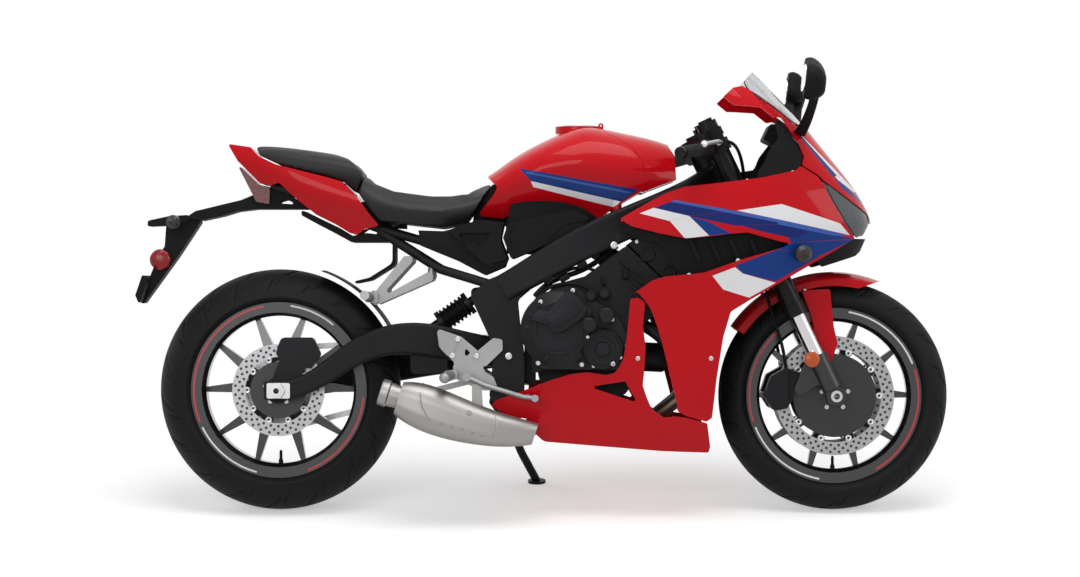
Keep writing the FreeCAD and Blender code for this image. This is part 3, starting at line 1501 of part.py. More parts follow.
TANK_STATIONS = (
    (480, 868, 700, 92, 800, 78),
    (560, 884, 700, 118, 838, 92),
    (620, 926, 700, 142, 870, 100),
    (700, 969, 700, 166, 898, 108),
    (790, 1002, 700, 177, 905, 122),
    (880, 990, 700, 176, 896, 138),
    (960, 973, 700, 156, 880, 132),
    (1020, 954, 700, 124, 866, 104),
    (1060, 936, 700, 100, 850, 84),
)
SPAR_LINE = [(830, 757, 6), (870, 787, 20), (940, 829, 10), (966, 834, 4), (1040, 861, 4)]


@lru_cache(None)
def tank_shape():
    return saddle(TANK_STATIONS)


def cap_top():
    """The height of the tank's top at the filler."""
    line = Part.makeLine(Vector(CAP_CENTRE.x, 0, 800), Vector(CAP_CENTRE.x, 0, 1200))
    return line.common(tank_shape()).BoundBox.ZMax


def fuel_tank():
    """The tank's painted shell, notched over the frame, with the filler's ring and seat."""
    outline = [
        (546, 868, 10),
        (560, 853, 8),
        (571, 843, 8),
        (560, 822, 10),
        (518, 768, 8),
        (585, 761, 10),
        (606, 775, 10),
        (650, 790, 30),
        (720, 797, 30),
        (770, 796, 20),
        (822, 768, 8),
    ] + SPAR_LINE[:-2]
    outline += [(951, 828, 2), (953.5, 850, 6), (946.5, 905.5, 30), (916.5, 946.5, 30), (871.5, 973.5, 20), (847.5, 986, 4), (847.5, 1100), (480, 1100)]
    body = tank_shape().common(slab(outline, -300, 300))
    channel = slab([(500, 700), (500, 800), (640, 830), (1100, 900), (1100, 700)], -70, 70)
    body = body.cut(channel)
    seat = Vector(CAP_CENTRE.x, 0, cap_top())
    ring = turned_along(seat, Vector(0, 0, 1), [(0, -16), (CAP_RADIUS + 11, -16), (CAP_RADIUS + 11, 3), (0, 3)])
    lugs = slab([(CAP_CENTRE.x + CAP_RADIUS + 2, seat.z - 10), (CAP_CENTRE.x + CAP_RADIUS + 2, seat.z + 12, 5),
                 (CAP_CENTRE.x + CAP_RADIUS + 15, seat.z + 12, 5), (CAP_CENTRE.x + CAP_RADIUS + 15, seat.z - 10)], 9, 15)
    posts = [rod(Vector(880, side * 132, 740), Vector(880, side * 132, 840), 12) for side in (-1, 1)]
    body = joined([body, ring, lugs, mirrored(lugs)] + posts).cut(main_frame())
    well = turned_along(seat, Vector(0, 0, 1), [(0, -9), (CAP_RADIUS, -9), (CAP_RADIUS, 30), (0, 30)])
    notch = slab([(CAP_CENTRE.x + CAP_RADIUS - 12, seat.z - 9), (CAP_CENTRE.x + CAP_RADIUS - 12, seat.z + 20),
                  (CAP_CENTRE.x + CAP_RADIUS + 20, seat.z + 20), (CAP_CENTRE.x + CAP_RADIUS + 20, seat.z - 3)], -9, 9)
    pin = cap_hinge()
    hole = rod(pin - ACROSS * 20, pin + ACROSS * 20, 2.5 + AXLE_GAP)
    return body.cut(Part.makeCompound([well, notch, hole]))


def cap_hinge():
    return Vector(CAP_CENTRE.x + CAP_RADIUS + 8.5, 0, cap_top() + 6)


def fuel_cap():
    """The hinged filler lid with its key flap, its knuckle and its pin."""
    seat = Vector(CAP_CENTRE.x, 0, cap_top())
    r = CAP_RADIUS - CAP_GAP
    lid = turned_along(seat, Vector(0, 0, 1), [(0, -8.7), (r, -8.7), (r, 3, 2), (r - 6, 7, 2), (20, 7), (19, 9), (0, 9)])
    pin = cap_hinge()
    knuckle = slab([(pin.x - 22, pin.z - 3), (pin.x - 22, pin.z + 1), (pin.x, pin.z + 5.5, 3), (pin.x + 5.5, pin.z, 3), (pin.x, pin.z - 5.5, 3)], -8, 8)
    hinge = rod(pin - ACROSS * 14.5, pin + ACROSS * 14.5, 2.5)
    return joined([lid, knuckle, hinge])


def tank_front_cover():
    """The black cover over the front of the tank, down to the frame spars."""
    outline = [
        (848, 986, 4),
        (872, 974, 20),
        (917, 947, 30),
        (947, 906, 30),
        (954, 850, 6),
        (952, 829, 2),
        (966, 836, 4),
        (1034, 861, 4),
        (1030, 926, 20),
        (1016, 948, 10),
        (1000, 1100),
        (848, 1100),
    ]
    body = tank_shape().common(slab(outline, -300, 300))
    channel = slab([(500, 700), (500, 800), (640, 830), (1100, 920), (1100, 700)], -60, 60)
    return body.cut(channel)


def side_covers():
    """The covers under the tank and seat: the knee pad plate over the spar and the slotted cover behind it."""
    pad = slab(
        [(606, 655, 8), (585, 710, 8), (597, 745, 8), (612, 752, 8), (740, 779, 20), (763, 781, 8), (812, 764, 8), (790, 740, 20), (690, 690, 30)],
        -152,
        -122,
        6,
    )
    rear = slab([(442, 730, 6), (500, 751, 10), (582, 735, 8), (580, 700, 8), (596, 655, 6), (540, 641, 8)], -148, -124)
    slots = [
        slab([(470 + i * 34, 722, 4), (520 + i * 34, 724, 4), (508 + i * 34, 700, 4), (484 + i * 34, 690, 4)], -160, -140) for i in range(2)
    ]
    covers = joined([pad, rear]).cut(Part.makeCompound(slots)).cut(main_frame()).cut(subframe())
    return both_sides(covers)


SEAT_STATIONS = (
    (190, 905, 690, 118, 850, 104),
    (245, 862, 690, 138, 820, 118),
    (320, 832, 690, 148, 800, 128),
    (420, 822, 690, 144, 790, 124),
    (490, 828, 690, 118, 795, 100),
    (560, 866, 690, 92, 820, 78),
)


def rider_seat():
    """The rider's saddle, dished between the tank and the pillion step."""
    outline = [
        (225.5, 878, 8),
        (246, 850, 20),
        (300, 828, 40),
        (400, 815, 60),
        (450, 816, 60),
        (490, 822, 20),
        (518, 838, 20),
        (548, 854, 8),
        (556, 845, 4),
        (540, 826, 8),
        (512, 778, 20),
        (490, 748, 20),
        (430, 734, 30),
        (350, 743, 30),
        (266, 753, 10),
        (242, 777, 10),
        (208, 826, 8),
    ]
    body = saddle(SEAT_STATIONS).common(slab(outline, -300, 300))
    feet = [rod(Vector(300, side * 81, 730), Vector(300, side * 81, 762), 10) for side in (-1, 1)]
    return joined([body] + feet).cut(subframe())


PILLION_STATIONS = (
    (-90, 960, 800, 52, 915, 46),
    (0, 952, 800, 92, 925, 84),
    (90, 940, 800, 112, 912, 104),
    (180, 926, 800, 122, 896, 112),
    (250, 905, 780, 118, 870, 108),
)


def pillion_seat():
    """The passenger's pad on top of the tail, with its step down to the rider's seat."""
    outline = [
        (-64, 948, 6),
        (-54, 953, 10),
        (0, 948, 30),
        (100, 934, 60),
        (180, 922, 10),
        (200, 902, 8),
        (225, 878, 6),
        (207, 829, 6),
        (199, 828, 6),
        (166, 857.6, 10),
        (128, 868.6, 20),
        (-5, 902.6, 20),
        (-51, 924.6, 6),
    ]
    return saddle(PILLION_STATIONS).common(slab(outline, -300, 300))


TAIL_STATIONS = (
    (-150, 985, 880, 44, 950, 38),
    (-60, 985, 800, 84, 900, 70),
    (20, 985, 720, 112, 868, 84),
    (110, 970, 690, 130, 830, 96),
    (200, 940, 690, 138, 800, 108),
    (300, 880, 690, 140, 770, 116),
)


@lru_cache(None)
def tail_cowl():
    """The tail: the red flanks under the seats and the raised rear lip, hollow below for the rails."""
    outline = [
        (-136, 958, 4),
        (-74, 948, 6),
        (-52, 924, 6),
        (-6, 902, 10),
        (128, 868, 20),
        (166, 857, 10),
        (203, 822, 10),
        (238, 774, 10),
        (264, 742, 4),
        (225, 734, 8),
        (208, 720, 10),
        (188, 723, 10),
        (150, 746, 20),
        (100, 771, 20),
        (50, 811, 20),
        (2, 855, 10),
        (-18, 848, 6),
        (-48, 853, 6),
        (-108, 912, 4),
    ]
    shell = saddle(TAIL_STATIONS).common(slab(outline, -300, 300))
    room = slab([(-44, 866, 4), (-20, 888, 10), (130, 850, 10), (200, 806, 10), (300, 760), (300, 640), (-60, 640)], -76, 76)
    return shell.cut(room).cut(subframe())


def tail_light():
    """The wedge lamp under the tail's lip."""
    outline = [(-110, 909, 3), (-50, 851, 3), (-22, 846, 3), (-30, 862, 3), (-60, 890, 3), (-90, 904, 3)]
    lens = slab([(-112, 908, 3), (-52, 850, 3), (-24, 845, 3), (-26, 800, 3), (-60, 806, 3)], -60, 60)
    return lens.common(saddle(TAIL_STATIONS)).cut(plate_hanger()).cut(subframe())


def inner_fender():
    """The black undertray and mudguard between the rear tyre and the rails."""
    tray = slab([(300, 716, 6), (230, 724, 6), (190, 716, 8), (150, 740, 8), (100, 764, 8), (60, 784, 8), (60, 770, 6), (100, 748, 8), (150, 722, 8), (190, 700, 8), (300, 700, 6)], -84, 84)
    blade = slab([(296, 716, 4), (304, 716, 4), (304, 640, 20), (240, 600, 30), (200, 592, 4), (198, 599, 4), (236, 608, 30), (296, 646, 20)], -70, 70)
    return joined([tray, blade]).cut(subframe())


@lru_cache(None)
def plate_hanger():
    """The arm behind the tail, its hood, the drop bracket with round reflectors, and the number plate's pad."""
    arm_piece = slab(
        [(90, 787, 4), (-10, 842, 8), (-24, 843, 6), (-100, 811, 20), (-220, 782, 20), (-246, 765, 8), (-205, 757, 10), (-150, 769, 10), (-110, 781, 10), (-60, 787, 4)],
        -48,
        48,
    )
    hood = slab([(-346, 742, 4), (-345, 757, 6), (-290, 769, 8), (-240, 772, 8), (-230, 757, 8), (-300, 744, 6)], -42, 42)
    drop = slab(
        [(-232, 768, 6), (-206, 756, 6), (-268, 662, 10), (-284, 640, 10), (-360, 535, 6), (-373, 560, 6), (-345, 600, 8), (-320, 662, 8), (-302, 690, 8), (-298, 744, 6)],
        -34,
        34,
    )
    pad = slab([(-352, 620, 3), (-372, 562, 3), (-362, 538, 3), (-342, 590, 3)], -92, 92)
    window = slab([(-12, 803, 3), (18, 812, 3), (46, 799, 3)], -100, 100)
    discs = [rod(Vector(-312, side * 30, 655), Vector(-312, side * 46, 655), REFLECTOR_RADIUS) for side in (-1, 1)]
    whole = joined([arm_piece, hood, drop, pad] + discs)
    bolts = []
    for side in (-PLATE_PITCH / 2, PLATE_PITCH / 2):
        centre = PLATE_CENTRE + ACROSS * side
        bolts.append(rod(centre - PLATE_NORMAL * 30, centre + PLATE_NORMAL * 30, PLATE_HOLE))
    return whole.cut(Part.makeCompound([window] + bolts)).cut(subframe())


REFLECTOR_RADIUS = 26.0
PLATE_PITCH = 146.0
PLATE_HOLE = 3.25
PLATE_CENTRE = Vector(-357, 0, 579)
PLATE_NORMAL = Vector(-math.cos(math.radians(18)), 0, math.sin(math.radians(18)))


def turn_lamps():
    """Round lamps: one stands out from each side cowl, and one on a short arm each side of the plate hanger."""
    base = fairing_point(1348, 668)
    front = turned_along(base, Vector(0.25, -1, 0), [(0, -6), (13, -6), (13, 10), (22, 16), (22, 34), (12, 44), (0, 46)])
    front = front.cut(fairing(0.0))
    front = max(front.Solids, key=lambda s: s.Volume)
    arm_end = Vector(-270, -42.3, 752)
    rear = turned_along(arm_end, Vector(0, -1, 0), [(0, 0), (7, 0), (7, 56), (18, 64), (18, 84), (10, 92), (0, 94)])
    return Part.makeCompound([front, mirrored(front), rear, mirrored(rear)])


# Rests, pedals and side stand


def footpeg_hangers():
    """The cast plates behind the engine with the rider's pegs and, on their outsides, the two pedals."""
    low = -(PLATE_INNER + PLATE_THICKNESS) - 12
    high = -(PLATE_INNER + PLATE_THICKNESS) - AXLE_GAP
    plate = slab(
        [
            (414, 477, 8),
            (478, 455, 20),
            (520, 419, 10),
            (532, 404, 6),
            (536, 365, 20),
            (560, 352, 8),
            (574, 318, 10),
            (536, 316, 10),
            (485, 335, 20),
            (464, 346, 10),
            (456, 376, 10),
            (460, 388, 14),
            (420, 430, 12),
        ],
        low,
        high,
    )
    ear = slab([(520, 419, 6), (560, 452, 8), (584, 448, 8), (584, 420, 8), (534, 372, 8)], low, high)
    hole = slab([(487, 428, 4), (501, 413, 4), (487, 402, 4)], low - 5, high + 5)
    knuckle = slab([(432, 366, 6), (468, 372, 6), (468, 346, 6), (436, 342, 6)], low - 22, low + 2)
    peg = rod(Vector(450, low - 16, 355), Vector(438, low - 112, 352), 13)
    tip = Part.makeSphere(14, Vector(438, low - 112, 352))
    heel = slab([(418, 470, 8), (470, 450, 12), (452, 396, 12), (424, 424, 8)], low - 3, low + 1)
    hangers = both_sides(joined([plate, ear, knuckle, peg, tip, heel]).cut(hole))
    return Part.makeCompound([hangers, foot_pedals()])


def pillion_hangers():
    """The Y-shaped passenger peg hangers under the tail, with the pegs folded out."""
    low, high = -136, -126
    reach = pipe([Vector(400, -131, 640), Vector(335, -131, 656)], 6)
    lower = slab([(236, 548, 6), (250, 566, 8), (330, 664, 8), (352, 662, 8), (350, 648, 8), (262, 552, 6), (390, 622, 8), (406, 616, 8), (402, 600, 8), (256, 536, 6)], low, high)
    peg = rod(Vector(244, low - 2, 555), Vector(232, low - 92, 562), 12)
    knuckle = slab([(228, 544, 6), (230, 572, 6), (262, 570, 6), (262, 542, 6)], low - 18, high)
    mounts = [rod(Vector(342, high - 2, 656), Vector(342, -106, 656), 8), rod(Vector(398, high - 2, 611), Vector(398, -112, 630), 8)]
    return both_sides(joined([lower, peg, knuckle] + mounts).cut(subframe()))


def foot_pedals():
    """The rear brake pedal on the right hanger and the gear lever on the left one."""
    pedals = []
    for side, path in (
        (-1, [(492, 16, 352), (540, 20, 330), (640, 28, 300), (668, 32, 298)]),
        (1, [(492, 16, 352), (560, 20, 336), (650, 26, 326), (690, 30, 330)]),
    ):
        out = PLATE_INNER + PLATE_THICKNESS + 12
        points = [Vector(x, side * (out + y), z) for x, y, z in path]
        end = points[-1]
        lever = pipe(points, 6.5, 60)
        pad = rod(end - ACROSS * side * 6, end + ACROSS * side * 34, 9)
        boss = rod(Vector(492, side * (out + HANGER_GAP), 352), Vector(492, side * (out + 23), 352), 12)
        pedals.append(joined([lever, pad, boss]))
    return Part.makeCompound(pedals)


STAND_AXIS = Vector(0.065, 0.85, 0.527).normalize()
TONGUE = 14.0


def stand_plane(offset):
    """Flat points round the stand's pivot, square to its axis, at an offset along it."""
    down = (stand_foot_point() - STAND_PIVOT)
    down = (down - STAND_AXIS * down.dot(STAND_AXIS)).normalize()
    side = STAND_AXIS.cross(down)
    return lambda p: STAND_PIVOT + down * p[0] + side * p[1] + STAND_AXIS * offset


def stand_bracket():
    """The stand's lug on the left pivot plate, with the tongue that the stand's ears straddle."""
    half = TONGUE / 2
    face = Part.Face(rounded_wire([(22, -16, 14), (22, 16, 14), (-40, 26, 8), (-40, -26, 8)], stand_plane(-half)))
    tongue = face.extrude(STAND_AXIS * TONGUE)
    inner = PLATE_INNER + PLATE_THICKNESS
    block = slab([(560, 284, 6), (560, 312, 6), (618, 312, 6), (618, 284, 6)], inner - 2, inner + 22)
    whole = joined([tongue, block])
    return whole.cut(rod(STAND_PIVOT - STAND_AXIS * 60, STAND_PIVOT + STAND_AXIS * 60, STAND_PIN_RADIUS + AXLE_GAP))


def lean_matrix():
    """The lean on to the stand, the small pitch and lift that put both tyres on the floor."""
    lean = math.radians(LEAN)
    drops = []
    for radius, crown in ((REAR_TYRE_RADIUS, 94.0), (FRONT_TYRE_RADIUS, 64.0)):
        drops.append((radius - crown) * math.cos(lean) + crown - radius * math.cos(lean))
    pitch = math.atan2(drops[1] - drops[0], WHEELBASE)
    matrix = Matrix()
    matrix.rotateX(-lean)
    matrix.rotateY(-pitch)
    matrix.move(Vector(0, 0, drops[0]))
    return matrix


def stand_foot_point():
    """Where the middle of the foot's sole meets the floor, in the bike frame."""
    floor = lean_matrix()
    low = floor.multVec(Vector(STAND_FOOT_FORWARD, STAND_FOOT_OFFSET, 0)).z
    high = floor.multVec(Vector(STAND_FOOT_FORWARD, STAND_FOOT_OFFSET, 100)).z
    return Vector(STAND_FOOT_FORWARD, STAND_FOOT_OFFSET, -low / (high - low) * 100)


def side_stand():
    """The stand: two ears and a pin at the bracket, the tube leg, and the foot flat on the floor."""
    foot = stand_foot_point()
    upright = lean_matrix().inverse()
    normal = (upright.multVec(Vector(0, 0, 1)) - upright.multVec(Vector(0, 0, 0))).normalize()
    sole = rod(foot, foot + normal * 7, STAND_FOOT_RADIUS)
    half = TONGUE / 2 + HEAD_GAP
    plane = lambda offset: stand_plane(offset)
    ears = []
    for low in (half, -half - 8):
        face = Part.Face(rounded_wire([(-16, -16, 14), (-16, 16, 14), (62, 13, 6), (62, -13, 6)], plane(low)))
        ears.append(face.extrude(STAND_AXIS * 8))
    web = Part.Face(rounded_wire([(34, -13, 3), (34, 13, 3), (62, 13, 6), (62, -13, 6)], plane(-half - 4))).extrude(STAND_AXIS * (2 * half + 8))
    pin = rod(STAND_PIVOT - STAND_AXIS * (half + 12), STAND_PIVOT + STAND_AXIS * (half + 12), STAND_PIN_RADIUS)
    leg = pipe([plane(0)((50, 0)), plane(0)((150, 4)), foot + normal * 5], STAND_LEG_RADIUS, 200)
    return joined(ears + [web, pin, leg, sole])


BUILDERS = (
    main_frame,
    subframe,
    engine_block,
    cylinder_head,
    right_engine_cover,
    left_engine_cover,
    exhaust_headers,
    silencer,
    radiator,
    swingarm,
    rear_axle,
    rear_caliper,
    chain,
    chain_guard,
    shock,
    fuel_tank,
    tank_front_cover,
    side_covers,
    rider_seat,
    pillion_seat,
    tail_cowl,
    tail_light,
    inner_fender,
    plate_hanger,
    upper_cowl,
    headlights,
    turn_lamps,
    windscreen,
    cockpit_panel,
    side_cowl_right,
    side_cowl_left,
    inner_cowls,
    lower_cowl,
    mirrors,
    footpeg_hangers,
    pillion_hangers,
    lower_yoke,
    upper_yoke,
    fork_outers,
    fork_inners,
    front_axle,
    front_calipers,
    front_fender,
    handlebars,
    grips,
    hand_controls,
    hand_levers,
    front_tyre,
    front_rim,
    front_discs,
    rear_tyre,
    rear_rim,
    rear_disc,
    rear_sprocket,
    side_stand,
    fuel_cap,
)


def build():
    """Every piece by name, leaned on to the stand, with the origin under the middle of the whole bike."""
    floor = lean_matrix()
    shapes = {builder.__name__: builder().transformed(floor, True) for builder in BUILDERS}
    boxes = [shape.optimalBoundingBox(False, False) for shape in shapes.values()]
    middle_x = (min(box.XMin for box in boxes) + max(box.XMax for box in boxes)) / 2
    middle_y = (min(box.YMin for box in boxes) + max(box.YMax for box in boxes)) / 2
    for shape in shapes.values():
        shape.translate(Vector(-middle_x, -middle_y, 0))
    return shapes


if __name__ == "__main__":
    os.makedirs("parts", exist_ok=True)
    for name, shape in build().items():
        shape.exportStep("parts/" + name + ".step")
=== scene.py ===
"""Dresses a faired sport motorcycle: its paint, livery, tyres, seats, lamps and small parts, and its studio.

Shapes are drawn in the bike frame, in millimetres: x forward from the rear axle, y to the rider's left and
z up from the ground, with the bike upright. BIKE takes them to the leaning bike on its stand, in metres.
"""

import json
import math

import bmesh
import bpy
from bpy.props import FloatProperty, FloatVectorProperty, IntProperty, PointerProperty
from mathutils import Matrix, Vector
from mathutils.bvhtree import BVHTree


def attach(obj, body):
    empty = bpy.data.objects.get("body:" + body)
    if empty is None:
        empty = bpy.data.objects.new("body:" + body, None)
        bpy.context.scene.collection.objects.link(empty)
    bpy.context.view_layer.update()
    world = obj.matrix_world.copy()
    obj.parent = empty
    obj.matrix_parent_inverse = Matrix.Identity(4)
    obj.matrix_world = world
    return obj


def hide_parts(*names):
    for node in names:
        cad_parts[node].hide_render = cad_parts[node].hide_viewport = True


bl_info = {
    "name": "Sport motorcycle dresser",
    "version": (1, 0, 0),
    "blender": (4, 5, 0),
    "location": "View3D > Sidebar > Motorcycle",
    "description": "Paints and details a faired sport motorcycle and sets its studio",
    "category": "Object",
}

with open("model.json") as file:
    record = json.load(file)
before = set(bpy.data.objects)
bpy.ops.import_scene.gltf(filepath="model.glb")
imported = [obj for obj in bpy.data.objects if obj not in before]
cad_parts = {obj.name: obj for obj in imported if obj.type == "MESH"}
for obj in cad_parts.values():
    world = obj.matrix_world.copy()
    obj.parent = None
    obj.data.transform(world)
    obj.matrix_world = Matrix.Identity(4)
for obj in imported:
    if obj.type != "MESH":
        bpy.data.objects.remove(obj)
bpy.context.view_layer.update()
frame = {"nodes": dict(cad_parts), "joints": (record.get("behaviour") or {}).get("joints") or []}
NODES = frame["nodes"]

MM = 0.001
SIDES = (-1, 1)

# Each tyre's radius, width, rim width and crown radius, and what both share at the rim
FRONT_TYRE = (300.0, 120.0, 96.0, 64.0)
REAR_TYRE = (315.0, 180.0, 146.0, 94.0)
FRONT_RADIUS, REAR_RADIUS = FRONT_TYRE[0], REAR_TYRE[0]
RIM_FLANGE, RIM_BEAD, TYRE_WALL = 230.5, 216.3, 9.0
TYRE_STEPS = 480
RIM_TAPE_INNER, RIM_TAPE_OUTER = 219.0, 223.5

# The discs' outer faces from the middle plane, and the radii of their carriers, bobbins and hub bolts
FRONT_DISC_FACE, REAR_DISC_FACE = 69.3, 86.3
FRONT_CARRIER, REAR_CARRIER = 119.0, 84.0
FRONT_BOBBINS, REAR_BOBBINS = 116.0, 81.0
HUB_BOLTS = 36.0

LOWER_YOKE_UP = 497.0
HOSE_RADIUS = 4.5
HOSE_AHEAD = 66.0
CHROME_START = 118.0


def joint(name):
    return next(j for j in frame["joints"] if j["name"] == name)


def bike_matrix():
    """The leaning bike's frame, worked out from the two wheels' axles."""
    rear, front = Vector(joint("rear_wheel_spin")["pos_m"]), Vector(joint("front_wheel_spin")["pos_m"])
    across = Vector(joint("front_wheel_spin")["axis"]).normalized()
    line = (front - rear).normalized()
    normal = line.cross(across).normalized()
    dip = math.asin((REAR_RADIUS - FRONT_RADIUS) * MM / (front - rear).length)
    ahead = line * math.cos(dip) + normal * math.sin(dip)
    up = normal * math.cos(dip) - line * math.sin(dip)
    origin = rear - up * REAR_RADIUS * MM
    turn = Matrix((ahead, across, up)).transposed()
    return Matrix.Translation(origin) @ turn.to_4x4() @ Matrix.Scale(MM, 4)


BIKE = bike_matrix()
AXLE_LINE = Vector(joint("front_wheel_spin")["pos_m"]) - Vector(joint("rear_wheel_spin")["pos_m"])
WHEELBASE = AXLE_LINE.length / MM
REAR_AXLE = Vector((0, 0, REAR_RADIUS))
FRONT_AXLE = Vector((math.sqrt(WHEELBASE**2 - (REAR_RADIUS - FRONT_RADIUS) ** 2), 0, FRONT_RADIUS))
STEER_UP = (BIKE.inverted().to_3x3() @ Vector(joint("steering")["axis"])).normalized()
STEER_AHEAD = Vector((0, 1, 0)).cross(STEER_UP).normalized()
STEER_BASE = BIKE.inverted() @ Vector(joint("steering")["pos_m"])
ACROSS = Vector((0, 1, 0))


def color_setting(name, description, default):
    return FloatVectorProperty(name=name, description=description, subtype="COLOR", size=3, default=default)


def number_setting(name, description, default, low, high, unit="NONE"):
    return FloatProperty(name=name, description=description, default=default, min=low, max=high, unit=unit)


class PaintSettings(bpy.types.PropertyGroup):
    """The livery's colours."""

    red: color_setting("Red", "Main body colour", (0.56, 0.002, 0.008))
    blue: color_setting("Blue", "Wide stripes", (0.006, 0.04, 0.22))
    navy: color_setting("Navy", "Darker stripe", (0.006, 0.02, 0.15))
    sky: color_setting("Light blue", "Thin stripe", (0.05, 0.12, 0.42))
    white: color_setting("White", "White stripes", (0.82, 0.82, 0.84))
    silver: color_setting("Silver", "Bare alloy", (0.58, 0.58, 0.59))


class TyreSettings(bpy.types.PropertyGroup):
    """The tyres' tread."""

    groove_depth: number_setting("Groove depth", "Tread depth in millimetres", 4.0, 1.0, 7.0)
    groove_width: number_setting("Groove width", "Width of one groove in millimetres", 7.0, 3.0, 12.0)
    pitch_count: IntProperty(
        name="Tread pitches", description="Times the tread repeats round a tyre", default=18, min=8, max=40
    )


class SeatSettings(bpy.types.PropertyGroup):
    """The seats' padding."""

    pressure: number_setting("Pressure", "Padding pressure of the cloth simulation", 3.0, 0.0, 8.0)
    puff_limit: number_setting("Puff limit", "How far the cover may swell", 0.006, 0.001, 0.02, "LENGTH")


class StudioSettings(bpy.types.PropertyGroup):
    """Camera and light."""

    distance: number_setting("Camera distance", "From the bike's centre plane", 8.5, 3.0, 20.0, "LENGTH")
    lens: number_setting("Lens", "Focal length in millimetres", 107.8, 35.0, 200.0)
    key: number_setting("Key light", "Power of the main softbox in watts", 105.0, 0.0, 2000.0)
    fill: number_setting("Fill", "Strength of the light from all round", 0.17, 0.0, 1.0)
    floor_lift: number_setting("Floor lift", "How much the floor glows of itself", 0.42, 0.0, 1.0)
    shadow_reach: number_setting("Shadow reach", "Where the floor turns white", 1.1, 0.2, 10.0, "LENGTH")


class Value:
    """A number socket that Python's arithmetic works on: each sum or product adds its Math node."""

    def __init__(self, paint, socket):
        self.paint = paint
        self.socket = socket

    def math(self, operation, *others, clamp=False):
        settings = {"operation": operation, "use_clamp": clamp}
        inputs = {i: v for i, v in enumerate((self, *others))}
        return Value(self.paint, self.paint.node("Math", settings, inputs).outputs[0])

    def __add__(self, other):
        return self.math("ADD", other)

    def __sub__(self, other):
        return self.math("SUBTRACT", other)

    def __rsub__(self, other):
        made = self.paint.node("Math", {"operation": "SUBTRACT"}, {0: other, 1: self})
        return Value(self.paint, made.outputs[0])

    def __mul__(self, other):
        return self.math("MULTIPLY", other)

    __radd__ = __add__
    __rmul__ = __mul__

    def clamped(self):
        return self.math("ADD", 0.0, clamp=True)

    def lowest(self, other):
        return self.math("MINIMUM", other)

    def highest(self, other):
        return self.math("MAXIMUM", other)

    def over(self, edge, soft):
        """One where the value is above an edge, nought below it, with a soft step between."""
        return ((self - edge) * (1 / soft) + 0.5).clamped()


class Paint:
    """One material, and the nodes that it is made of."""

    def __init__(self, name):
        self.material = bpy.data.materials.new(name)
        self.material.use_nodes = True
        self.tree = self.material.node_tree
        self.tree.nodes.clear()
        self.shader = self.node("BsdfPrincipled")
        self.node("OutputMaterial", {}, {"Surface": self.shader.outputs[0]})

    def node(self, kind, settings=None, inputs=None):
        """A shader node of a kind. Its settings are set first, then its inputs' values or links."""
        node = self.tree.nodes.new("ShaderNode" + kind)
        for key, value in (settings or {}).items():
            setattr(node, key, value)
        for key, value in (inputs or {}).items():
            self.feed(node.inputs[key], value)
        return node

    def feed(self, socket, value):
        """Links a socket to another node's output, or sets its own value."""
        if isinstance(value, Value):
            value = value.socket
        if isinstance(value, bpy.types.NodeSocket):
            self.tree.links.new(value, socket)
        else:
            socket.default_value = value

    def set(self, **sockets):
        """Sets or links the shader's sockets, named with underscores for spaces."""
        for key, value in sockets.items():
            self.feed(self.shader.inputs[key.replace("_", " ")], value)
        return self

    def here(self, turned=False):
        """The point being shaded, in the object's metres, or in the upright bike's millimetres if turned."""
        point = self.node("TexCoord").outputs["Object"]
        if not turned:
            return point
        place, rotation, size = BIKE.inverted().decompose()
        settings = {"Vector": point, "Location": place, "Rotation": rotation.to_euler(), "Scale": size}
        return self.node("Mapping", {}, settings).outputs[0]

    def upright(self):
        """The shaded point's x, y and z in the bike frame."""
        parts = self.node("SeparateXYZ", {}, {0: self.here(turned=True)})
        return [Value(self, parts.outputs[i]) for i in range(3)]

    def noise(self, scale, detail=2.0, vector=None):
        inputs = {"Vector": vector or self.here(), "Scale": scale, "Detail": detail}
        return Value(self, self.node("TexNoise", {}, inputs).outputs["Fac"])

    def cells(self, scale):
        """How far the shaded point is from the edges of small cells."""
        inputs = {"Vector": self.here(), "Scale": scale}
        cell = self.node("TexVoronoi", {"feature": "DISTANCE_TO_EDGE"}, inputs)
        return Value(self, cell.outputs["Distance"])

    def mix(self, factor, low, high):
        low = (*low, 1.0) if isinstance(low, (tuple, list)) and len(low) == 3 else low
        high = (*high, 1.0) if isinstance(high, (tuple, list)) and len(high) == 3 else high
        mixer = self.node("Mix", {"data_type": "RGBA"}, {"Factor": factor, 6: low, 7: high})
        return mixer.outputs[2]

    def bump(self, height, distance, strength=1.0):
        inputs = {"Height": height, "Distance": distance, "Strength": strength}
        self.set(Normal=self.node("Bump", {}, inputs).outputs[0])
        return self

    def inside(self, polygon, x, z, soft=0.8):
        """One inside a convex polygon drawn on x and z, nought outside."""
        area = sum(a[0] * b[1] - b[0] * a[1] for a, b in zip(polygon, polygon[1:] + polygon[:1]))
        sign = 1 if area > 0 else -1
        mask = None
        for a, b in zip(polygon, polygon[1:] + polygon[:1]):
            length = math.hypot(b[0] - a[0], b[1] - a[1])
            nx, nz = sign * (a[1] - b[1]) / length, sign * (b[0] - a[0]) / length
            edge = x * nx + z * nz - (a[0] * nx + a[1] * nz)
            mask = edge if mask is None else mask.lowest(edge)
        return (mask * (1 / soft) + 0.5).clamped()


def shade(paint, base, roughness, metallic=0.0, coat=0.0, specular=0.5):
    paint.set(Base_Color=(*base, 1.0) if isinstance(base, (tuple, list)) else base)
    paint.set(Roughness=roughness, Metallic=metallic, Coat_Weight=coat, Coat_Roughness=0.03)
    paint.shader.inputs["Specular IOR Level"].default_value = specular
    return paint


